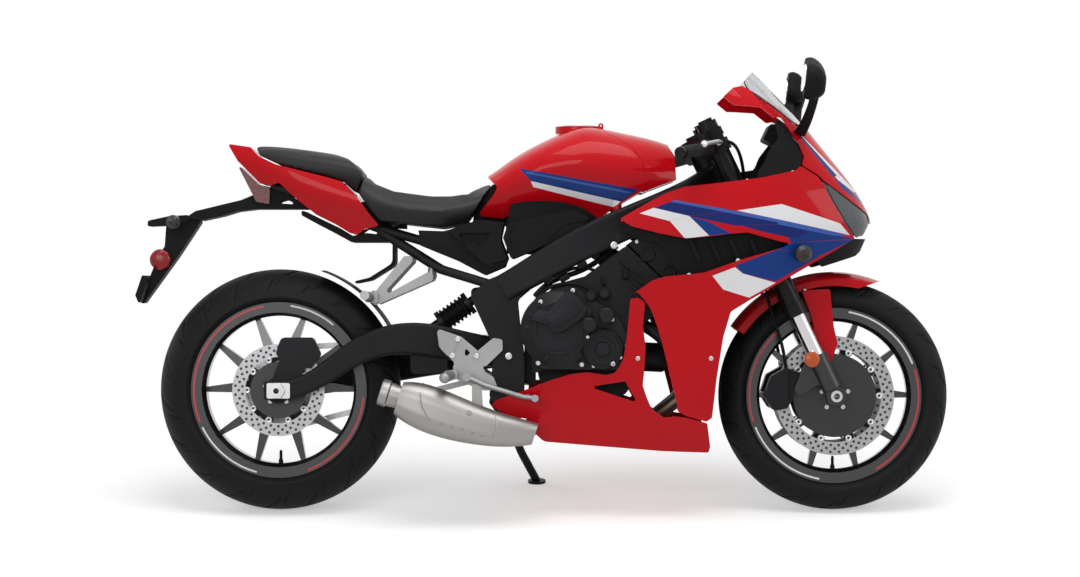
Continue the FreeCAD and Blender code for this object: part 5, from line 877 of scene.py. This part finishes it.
class BIKE_OT_engine(bpy.types.Operator):
    """Dress the right side of the engine with its small covers, bolts, pipes and wires."""

    bl_idname = "sport_bike.engine"
    bl_label = "Dress the engine"

    def execute(self, context):
        cover, black, steel = (bpy.data.materials[n] for n in ("cover_black", "engine_black", "steel"))
        plastic = bpy.data.materials["plastic_black"]
        self.covers(cover)
        self.head(black)
        self.bolts(steel)
        self.wires(plastic)
        return {"FINISHED"}

    def covers(self, material):
        """The rings of the round pulse cover, the starter gear's box and the stub cylinders beside it."""
        bm = bmesh.new()
        pulse, out = seat(842, 452, ENGINE_SIDE)[0], (0, -1, 0)
        face = Vector((842, pulse.y, 424))
        for outer, inner, high in ((50, 46, 3.0), (38, 33, 3.5), (24, 19, 3.5), (12, 0.5, 4.0)):
            step = [(inner, -2), (inner, high - 1), (inner + 1, high)]
            step += [(outer - 1, high), (outer, high - 1), (outer, -2)]
            turned(bm, step, face, out, 48)
        clutch = Vector((728, seat(728, 474, ENGINE_SIDE)[0].y, 474))
        for start in (8, 128, 248):
            for i in range(3):
                turn = start + i * 24
                away = round_face(Vector((0, 0, 0)), 1, turn, 0)
                block(bm, round_face(clutch, 76, turn, clutch.y + 5), (20, 12, 8), away, out, 2)
        box_y = seat(720, 520, ENGINE_SIDE)[0].y
        top = [(655, 500), (676, 528), (700, 522), (752, 576), (768, 570)]
        bottom = [(800, 528), (796, 508), (742, 470), (716, 464), (700, 486)]
        flat_plate(bm, top + bottom, box_y - 16, 26, 4)
        raised = [(690, 506), (708, 512), (752, 556), (786, 524), (738, 484), (716, 480)]
        flat_plate(bm, raised, box_y - 19, 8, 2)
        for x, z, radius, length in ((850, 510, 20, 34), (806, 486, 19, 30)):
            base = seat(x, z, ENGINE_SIDE)[0]
            stub = [(0.5, -4), (radius, -4), (radius, length - 4), (radius - 4, length), (0.5, length)]
            turned(bm, stub, base, out, 32)
        sensor = [(0.5, -6), (15, -6), (15, 18), (12, 22), (9, 22), (9, 27), (0.5, 27)]
        for x, z in ((811, 560), (846, 566)):
            turned(bm, sensor, seat(x, z, ENGINE_SIDE)[0], out, 28)
        add_piece("engine_small_covers", bm, "chassis", material, smooth=40)

    def head(self, material):
        """The cam cover's core plugs and rim, and the cooling ribs of the cylinders."""
        bm = bmesh.new()
        for x, z in ((957, 668), (1012, 620)):
            base = seat(x, z, ENGINE_SIDE)[0]
            turned(bm, [(13, 0), (13, 3), (17, 4), (19, 3), (19, -4)], base, (0, -1, 0), 32)
            turned(bm, [(0.5, 0), (0.5, 1.5), (9, 1.5), (9, 0)], base, (0, -1, 0), 28)
        for i in range(5):
            start = Vector((884 + i * 9, 0, 652 - i * 22))
            end = start + Vector((96 - i * 4, 0, -70 + i * 4)) * 0.62
            places = (start, (start + end) / 2, end)
            line = [Vector((p.x, seat(p.x, p.z, ENGINE_SIDE)[0].y - 2, p.z)) for p in places]
            tube(bm, line, 3.2, 8, 3)
        add_piece("cylinder_ribs", bm, "chassis", material, smooth=40)

    def bolts(self, material):
        bm = bmesh.new()
        places = [(676, 388), (682, 545), (765, 574), (866, 500), (905, 432), (868, 386), (788, 384)]
        bolts_at(bm, places, ENGINE_SIDE, radius=6.0, height=5.0, straight=True)
        bolts_at(bm, [(803, 455), (818, 380), (888, 402)], ENGINE_SIDE, radius=4.5, straight=True)
        places = [(930, 700), (1000, 692), (1045, 640), (1050, 600)]
        bolts_at(bm, places, ("cylinder_head",), straight=True)
        bolts_at(bm, [(876, 683), (600, 405)], ("main_frame",), radius=9.0, height=6.0, straight=True)
        add_piece("engine_bolts", bm, "chassis", material)

    def wires(self, material):
        """The loom and the breather and coolant hoses held along the engine's top and side."""
        bm = bmesh.new()
        runs = (
            (7.0, ((668, -168, 560), (700, -150, 600), (760, -138, 612), (822, -132, 640), (880, -126, 690))),
            (4.5, ((664, -172, 540), (690, -176, 582), (742, -180, 596), (790, -178, 592), (822, -180, 566))),
            (4.5, ((700, -168, 590), (744, -160, 628), (790, -150, 640), (838, -150, 624), (846, -176, 588))),
            (9.0, ((838, -120, 640), (866, -136, 668), (896, -146, 662), (906, -160, 630), (900, -170, 604))),
            (11.0, ((1040, -120, 600), (1068, -150, 622), (1082, -150, 640), (1100, -160, 640))),
        )
        for radius, points in runs:
            tube(bm, points, radius, 12, 8)
        for x, y, z in ((744, -176, 606), (790, -170, 640), (700, -160, 604)):
            block(bm, (x, y, z), (26, 16, 18), (1, 0, 0.6), (0, -1, 0), 3)
        add_piece("engine_loom", bm, "chassis", material, smooth=50)


# Exhaust


class BIKE_OT_exhaust(bpy.types.Operator):
    """Add the silencer's end cap, its seams, rivets and bolt, and a black disc inside its mouth as painted
    shade.
    """

    bl_idname = "sport_bike.exhaust"
    bl_label = "Finish the silencer"

    def execute(self, context):
        steel = bpy.data.materials["silencer_steel"]
        can = ("silencer",)
        bm = bmesh.new()
        axis = Vector((-1, 0, 0.315)).normalized()
        mouth = Vector((276, -192, 313))
        lip = [(26.2, -30), (26.2, 3), (28, 6), (33, 6), (35, 3), (35, -14), (31, -18), (31, -30)]
        turned(bm, lip, mouth, axis, 40)
        rear_seam = [(385, 352), (374, 320), (378, 280), (398, 244)]
        front_seam = [(556, 280), (566, 250), (572, 222), (560, 196)]
        for line in (rear_seam, front_seam):
            tube(bm, traced(line, can, 0.6), 2.0, 8, 4)
        for i in range(5):
            x = 430 + i * 26
            place, normal = seat(x, 236 - i * 8, can)
            turned(bm, [(0.3, 2.2), (2.6, 1.8), (3.8, 0), (3.8, -1)], place, normal, 12)
        bolts_at(bm, [(500, 262)], can, radius=6.0)
        add_piece("silencer_trim", bm, "chassis", steel)
        # A black disc just inside the outlet's bore is painted shade for the dark inside of the pipe.
        bm = bmesh.new()
        inner = Vector((300, -192, 305))
        turned(bm, [(0.5, -8), (0.5, -6), (25.5, -6), (25.5, -8)], inner, axis, 40)
        add_piece("silencer_mouth_shade", bm, "chassis", bpy.data.materials["plastic_black"])
        return {"FINISHED"}


# Air filter box, inner panels and the front of the engine


REAR_PANEL = (
    (366, 730), (430, 728), (486, 741), (514, 757), (588, 751), (580, 711),
    (599, 660), (590, 636), (538, 614), (470, 650), (372, 690),
)
FILTER_BOX = (
    (594, 672), (592, 742), (606, 800), (700, 832), (800, 824),
    (842, 790), (842, 742), (790, 706), (700, 668),
)
THROTTLE_BODY = [
    (0.5, 0), (19, 0), (19, 34), (23, 36), (23, 46), (20, 49),
    (20, 58), (24, 60), (24, 78), (19, 81), (19, 108), (0.5, 108),
]
HORN = [(0.5, 0), (16, 0), (30, 5), (41, 7), (43, 10), (41, 13), (30, 12), (16, 20), (0.5, 20)]


class BIKE_OT_intake(bpy.types.Operator):
    """Add the air filter's box under the tank, the throttle bodies below it and the panels under the seat."""

    bl_idname = "sport_bike.intake"
    bl_label = "Add the intake and inner panels"

    def execute(self, context):
        plastic, metal, steel = (bpy.data.materials[n] for n in ("plastic_black", "cover_black", "steel"))
        bm = bmesh.new()
        flat_plate(bm, FILTER_BOX, -114, 228, 6)
        add_piece("air_filter_box", bm, "chassis", plastic, smooth=40)
        bm = bmesh.new()
        run = Vector((-96, 0, 58))
        for y in (-94, -32, 32, 94):
            turned(bm, THROTTLE_BODY, Vector((884, y, 656)), run, 28)
        rail = [(0.5, 0), (9, 0), (9, 228), (0.5, 228)]
        turned(bm, rail, Vector((845, -114, 706)), (0, 1, 0), 16)
        block(bm, (858, -118, 694), (44, 20, 34), (0.85, 0, -0.53), (0, -1, 0), 4)
        block(bm, (820, -120, 668), (30, 22, 26), (0.85, 0, -0.53), (0, -1, 0), 4)
        add_piece("throttle_bodies", bm, "chassis", metal, smooth=40)
        bm = bmesh.new()
        crease = [(486, 733), (500, 745), (524, 748), (512, 716), (522, 684), (508, 696)]
        for side in SIDES:
            flat_plate(bm, REAR_PANEL, side * 137, 6, 2)
            flat_plate(bm, crease, side * 139.5, 4, 1)
        flat_plate(bm, [(505, 752), (512, 796), (556, 850), (604, 862), (610, 742)], -66, 132, 4)
        flat_plate(bm, [(188, 806), (214, 742), (330, 736), (330, 768), (236, 806)], -58, 116, 4)
        add_piece("rear_side_panels", bm, "chassis", plastic, smooth=40)
        self.front_of_engine(metal)
        return {"FINISHED"}

    def front_of_engine(self, metal):
        """The oil filter, the horn and the coolant hoses between the engine and the radiator."""
        bm = bmesh.new()
        can = [(0.5, -6), (30, -6), (37, 2), (38, 8), (38, 66), (34, 74), (14, 78), (0.5, 78)]
        turned(bm, can, Vector((934, -44, 402)), (1, 0, -0.05), 40)
        turned(bm, HORN, Vector((1012, -84, 524)), (0, -1, 0), 40)
        block(bm, (1020, -78, 566), (10, 8, 70), bevel=2)
        lower = [(1100, -150, 398), (1060, -150, 392), (1020, -146, 424), (980, -140, 470), (934, -132, 492)]
        tube(bm, lower, 16.0, 16, 10)
        upper = [(1096, -120, 600), (1058, -124, 596), (1010, -126, 560), (962, -128, 548)]
        tube(bm, upper, 14.0, 16, 10)
        add_piece("engine_front_parts", bm, "chassis", metal, smooth=40)


# Lamps and glass


DOME = [(27, -3), (27, 3), (24, 7), (19, 9.5), (12, 11.5), (6, 12.3), (0, 12.6)]


class BIKE_OT_lamps(bpy.types.Operator):
    """Add the reflectors and the mirrors' glass."""

    bl_idname = "sport_bike.lamps"
    bl_label = "Add lamps and glass"

    def execute(self, context):
        red = glowing_lens("reflector_red", (0.42, 0.004, 0.006), 260.0)
        amber = glowing_lens("reflector_amber", (0.8, 0.13, 0.01), 260.0)
        bm = bmesh.new()
        for side in SIDES:
            turned(bm, DOME, seat(-312, 655, ("plate_hanger",), side)[0], (0, side, 0), 40)
        add_piece("rear_reflectors", bm, "chassis", red)
        bm = bmesh.new()
        small = [(r * 0.75, h * 0.7) for r, h in DOME]
        for side in SIDES:
            place = seat(1384, 396, ("fork_inners", "front_fender"), side)[0]
            turned(bm, small, place, (0, side, 0), 32)
        add_piece("fork_reflectors", bm, "fork", amber)
        bm = bmesh.new()
        for side in SIDES:
            own = bmesh.new()
            bmesh.ops.create_circle(own, cap_ends=True, segments=48, radius=1.0)
            for vert in own.verts:
                x, y = vert.co.x, vert.co.y
                vert.co.x = math.copysign(abs(x) ** 0.62, x) * 57
                vert.co.y = math.copysign(abs(y) ** 0.62, y) * 34
            pushed = bmesh.ops.extrude_face_region(own, geom=own.faces[:])
            verts = [v for v in pushed["geom"] if isinstance(v, bmesh.types.BMVert)]
            bmesh.ops.translate(own, vec=(0, 0, 1.4), verts=verts)
            facing = Vector((-1, 0, 0.1)).normalized()
            flat = Vector((0, 1, 0))
            turn = Matrix((flat, facing.cross(flat), facing)).transposed().to_4x4()
            merge(bm, own, Matrix.Translation((1349.4, side * 310, 1113)) @ turn)
        add_piece("mirror_glass", bm, "chassis", mirror_glass("mirror_silver"))
        return {"FINISHED"}


# Body fasteners and ribs


class BIKE_OT_trim(bpy.types.Operator):
    """Add the bodywork's bolts and the side covers' ribs."""

    bl_idname = "sport_bike.trim"
    bl_label = "Add bolts and ribs"

    def execute(self, context):
        steel, plastic = bpy.data.materials["steel"], bpy.data.materials["plastic_black"]
        bm = bmesh.new()
        for side in SIDES:
            bolts_at(bm, [(932, 400), (650, 300)], ("lower_cowl",), side, 6.0, 3.0)
            cowl = "side_cowl_left" if side > 0 else "side_cowl_right"
            bolts_at(bm, [(1060, 640), (1180, 668), (1120, 400)], (cowl,), side, 6.0, 3.0)
        bolts_at(bm, [(454, 406), (517, 405), (469, 449)], ("footpeg_hangers",), -1, 7.0, 5.0, True)
        add_piece("body_bolts", bm, "chassis", steel)
        bm = bmesh.new()
        for side in SIDES:
            bolts_at(bm, [(1360, 612)], ("front_fender",), side, 5.0, 3.0)
        add_piece("fender_bolts", bm, "fork", steel)
        bm = bmesh.new()
        for side in SIDES:
            tube(bm, traced([(700, 700), (740, 744), (800, 756)], ("side_covers",), 0.2, side), 1.6, 8, 4)
            tube(bm, traced([(610, 680), (600, 715), (612, 742)], ("side_covers",), 0.2, side), 1.6, 8, 4)
        add_piece("side_cover_ribs", bm, "chassis", plastic)
        return {"FINISHED"}


# Seats and brake hoses


COVER_VOXEL = 0.0055
COVER_SHRINK = 0.002
COVER_FRAMES = 20


def evaluated_mesh(obj):
    depsgraph = bpy.context.evaluated_depsgraph_get()
    return bpy.data.meshes.new_from_object(obj.evaluated_get(depsgraph))


def pad_seat(name, settings):
    """A seat's own form under a swelling cover: a cloth copy of it, its underside held, its swell capped."""
    scene = bpy.context.scene
    obj = bpy.data.objects.new(name + "_cover", NODES[name].data.copy())
    scene.collection.objects.link(obj)
    remesh = obj.modifiers.new("skin", "REMESH")
    remesh.mode, remesh.voxel_size = "VOXEL", COVER_VOXEL
    mesh = evaluated_mesh(obj)
    obj.modifiers.clear()
    obj.data = mesh
    up = (BIKE.to_3x3() @ Vector((0, 0, 1))).normalized()
    held = [v.index for v in mesh.vertices if v.normal.dot(up) < -0.1]
    start = [v.co - v.normal * COVER_SHRINK for v in mesh.vertices]
    mesh.vertices.foreach_set("co", [c for place in start for c in place])
    obj.vertex_groups.new(name="held").add(held, 1.0, "REPLACE")
    cloth = obj.modifiers.new("cover", "CLOTH")
    cloth.settings.quality = 4
    cloth.settings.use_pressure = True
    cloth.settings.uniform_pressure_force = settings.pressure
    cloth.settings.effector_weights.gravity = 0.0
    cloth.settings.vertex_group_mass = "held"
    cloth.settings.tension_stiffness = cloth.settings.compression_stiffness = 18.0
    cloth.settings.bending_stiffness = 4.0
    cloth.point_cache.frame_start, cloth.point_cache.frame_end = 1, COVER_FRAMES
    for number in range(1, COVER_FRAMES + 1):
        scene.frame_set(number)
    swollen = evaluated_mesh(obj)
    obj.modifiers.clear()
    for vert, place in zip(swollen.vertices, start):
        move = vert.co - place
        vert.co = place + move * min(1.0, settings.puff_limit / max(move.length, 1e-9))
    bpy.data.objects.remove(obj)
    scene.frame_set(1)
    material = bpy.data.materials["seat_vinyl"]
    cover = place_mesh(name + "_padded", swollen, "chassis", material, (name,), 0)
    finer = cover.modifiers.new("finer", "SUBSURF")
    finer.levels = finer.render_levels = 1


class BIKE_OT_seats(bpy.types.Operator):
    """Pad both seats with a cloth cover."""

    bl_idname = "sport_bike.seats"
    bl_label = "Pad the seats"

    def execute(self, context):
        for name in ("rider_seat", "pillion_seat"):
            pad_seat(name, context.scene.bike_seats)
        return {"FINISHED"}


def bar_point(along):
    """A point on the right handlebar by its distance out from the fork leg."""
    return Vector((1140.8, -104, 946.3)) + Vector((-0.395, -0.905, -0.09)) * along


class BIKE_OT_hoses(bpy.types.Operator):
    """Add the front brake's hoses, from the lever to the lower yoke and down to both calipers."""

    bl_idname = "sport_bike.hoses"
    bl_label = "Add the brake hoses"

    def execute(self, context):
        bm = bmesh.new()
        outlet = bar_point(66) + STEER_AHEAD * 30 + ACROSS * 12
        top = steered(LOWER_YOKE_UP, -8, HOSE_AHEAD)
        loop = (Vector((1208, -116, 915)), Vector((1212, -56, 850)))
        tube(bm, [outlet, outlet + STEER_AHEAD * 40, *loop, top + STEER_UP * 56, top], HOSE_RADIUS, 12, 10)
        down = ((1268, 52, 655), (1262, 88, 590), (1290, 96, 490), (1316, 96, 420), (1320, 96, 366))
        for side in SIDES:
            start = steered(LOWER_YOKE_UP, side * 12, HOSE_AHEAD)
            run = [start, start - STEER_UP * 42]
            run += [Vector((x, side * y, z)) for x, y, z in down]
            tube(bm, run, HOSE_RADIUS, 12, 10)
        middle = steered(LOWER_YOKE_UP, 0, HOSE_AHEAD - 4)
        block(bm, middle, (30, 40, 20), STEER_AHEAD, STEER_UP, 3)
        rubber = bpy.data.materials["plastic_black"]
        add_piece("front_brake_hoses", bm, "fork", rubber, smooth=60)
        return {"FINISHED"}


# Studio


CAMERA_AHEAD, CAMERA_UP = 680.7, 579.5
CAMERA_REACH = 200.0


def set_lamp(name, place, target, width, depth, power):
    light = bpy.data.lights.new(name, "AREA")
    light.shape = "RECTANGLE"
    light.size, light.size_y, light.energy = width, depth, power
    obj = bpy.data.objects.new(name, light)
    aim = (Vector(target) - Vector(place)).to_track_quat("-Z", "Y")
    obj.matrix_world = Matrix.Translation(place) @ aim.to_matrix().to_4x4()
    bpy.context.scene.collection.objects.link(obj)


class BIKE_OT_studio(bpy.types.Operator):
    """Set the pale floor, the soft light and the camera."""

    bl_idname = "sport_bike.studio"
    bl_label = "Set the studio"

    def execute(self, context):
        settings = context.scene.bike_studio
        bm = bmesh.new()
        bmesh.ops.create_grid(bm, x_segments=1, y_segments=1, size=30.0)
        mesh = bpy.data.meshes.new("floor")
        bm.to_mesh(mesh)
        bm.free()
        floor = bpy.data.objects.new("floor", mesh)
        context.scene.collection.objects.link(floor)
        mesh.materials.append(floor_paint(settings))
        middle = BIKE @ Vector((700, 0, 600))
        set_lamp("top_softbox", middle + Vector((0.3, -0.6, 3.6)), middle, 3.4, 2.4, settings.key)
        set_lamp("side_softbox", middle + Vector((-1.6, -4.2, 1.9)), middle, 2.6, 1.6, settings.key * 0.55)
        set_lamp("front_softbox", middle + Vector((4.2, -1.6, 1.8)), middle, 1.6, 2.0, settings.key * 0.35)
        set_lamp("rear_softbox", middle + Vector((-3.8, 1.8, 2.2)), middle, 1.6, 2.0, settings.key * 0.3)
        set_world(context.scene, settings)
        camera = bpy.data.objects.new("camera", bpy.data.cameras.new("camera"))
        eye = BIKE @ Vector((CAMERA_AHEAD, -settings.distance / MM, CAMERA_UP))
        turn = BIKE.to_3x3().normalized()
        side, up = turn @ Vector((1, 0, 0)), turn @ Vector((0, 0, 1))
        facing = Matrix((side, up, side.cross(up))).transposed()
        camera.matrix_world = Matrix.Translation(eye) @ facing.to_4x4()
        camera.data.lens = settings.lens
        camera.data.clip_end = CAMERA_REACH
        context.scene.collection.objects.link(camera)
        context.scene.camera = camera
        context.scene.view_settings.view_transform = "Standard"
        return {"FINISHED"}


def seen_rays(node, link):
    """One for rays from the camera, off gloss or through glass, so that all of them show the same white."""
    path = node("ShaderNodeLightPath")
    total = path.outputs["Is Camera Ray"]
    for kind in ("Is Glossy Ray", "Is Transmission Ray"):
        highest = node("ShaderNodeMath")
        highest.operation = "MAXIMUM"
        link(total, highest.inputs[0])
        link(path.outputs[kind], highest.inputs[1])
        total = highest.outputs[0]
    return total


def floor_paint(settings):
    """A white floor that keeps the bike's shadow near it and is plain white further off."""
    paint = Paint("floor_white")
    haze = paint.noise(0.6)
    white = paint.mix(haze, (0.80, 0.80, 0.80), (0.82, 0.82, 0.82))
    shade(paint, white, haze * 0.05 + 0.7)
    parts = paint.node("SeparateXYZ", {}, {0: paint.here()})
    along, across = Value(paint, parts.outputs[0]), Value(paint, parts.outputs[1])
    away = (along * along * 0.4 + across * across).math("SQRT")
    far = away.over(settings.shadow_reach, 0.5)
    rays = Value(paint, seen_rays(paint.tree.nodes.new, paint.tree.links.new))
    glowing = (*[settings.floor_lift] * 3, 1)
    lift = paint.node("Mix", {"data_type": "RGBA"}, {"Factor": rays, 6: (0, 0, 0, 1), 7: glowing})
    paint.set(Emission_Color=lift.outputs[2], Emission_Strength=1.0)
    glow = paint.node("Emission", {}, {"Color": (1, 1, 1, 1), "Strength": 1.0})
    mixer = paint.node("MixShader", {}, {0: far * rays})
    output = next(n for n in paint.tree.nodes if n.bl_idname == "ShaderNodeOutputMaterial")
    paint.tree.links.new(paint.shader.outputs[0], mixer.inputs[1])
    paint.tree.links.new(glow.outputs[0], mixer.inputs[2])
    paint.tree.links.new(mixer.outputs[0], output.inputs[0])
    return paint.material


def set_world(scene, settings):
    world = bpy.data.worlds.new("studio")
    world.use_nodes = True
    tree = world.node_tree
    tree.nodes.clear()
    fill, white = tree.nodes.new("ShaderNodeBackground"), tree.nodes.new("ShaderNodeBackground")
    fill.inputs["Strength"].default_value = settings.fill
    white.inputs["Strength"].default_value = 1.0
    for node in (fill, white):
        node.inputs["Color"].default_value = (1.0, 1.0, 1.0, 1.0)
    mixer, output = tree.nodes.new("ShaderNodeMixShader"), tree.nodes.new("ShaderNodeOutputWorld")
    tree.links.new(seen_rays(tree.nodes.new, tree.links.new), mixer.inputs[0])
    tree.links.new(fill.outputs[0], mixer.inputs[1])
    tree.links.new(white.outputs[0], mixer.inputs[2])
    tree.links.new(mixer.outputs[0], output.inputs[0])
    scene.world = world


OPERATORS = (
    BIKE_OT_paint,
    BIKE_OT_tyres,
    BIKE_OT_wheel_hardware,
    BIKE_OT_engine,
    BIKE_OT_exhaust,
    BIKE_OT_intake,
    BIKE_OT_lamps,
    BIKE_OT_trim,
    BIKE_OT_seats,
    BIKE_OT_hoses,
    BIKE_OT_studio,
)
SETTINGS = {
    "bike_paint": PaintSettings,
    "bike_tyres": TyreSettings,
    "bike_seats": SeatSettings,
    "bike_studio": StudioSettings,
}


class BIKE_PT_panel(bpy.types.Panel):
    """Lists the steps that dress the motorcycle."""

    bl_idname = "BIKE_PT_panel"
    bl_label = "Motorcycle"
    bl_space_type = "VIEW_3D"
    bl_region_type = "UI"
    bl_category = "Motorcycle"

    def draw(self, context):
        for operator in OPERATORS:
            self.layout.operator(operator.bl_idname)


def register():
    for group in SETTINGS.values():
        bpy.utils.register_class(group)
    for name, group in SETTINGS.items():
        setattr(bpy.types.Scene, name, PointerProperty(type=group))
    for operator in OPERATORS:
        bpy.utils.register_class(operator)
    bpy.utils.register_class(BIKE_PT_panel)


def unregister():
    bpy.utils.unregister_class(BIKE_PT_panel)
    for operator in reversed(OPERATORS):
        bpy.utils.unregister_class(operator)
    for name, group in SETTINGS.items():
        delattr(bpy.types.Scene, name)
        bpy.utils.unregister_class(group)


def main():
    register()
    for operator in OPERATORS:
        group, name = operator.bl_idname.split(".")
        getattr(getattr(bpy.ops, group), name)()


if __name__ == "__main__":
    main()
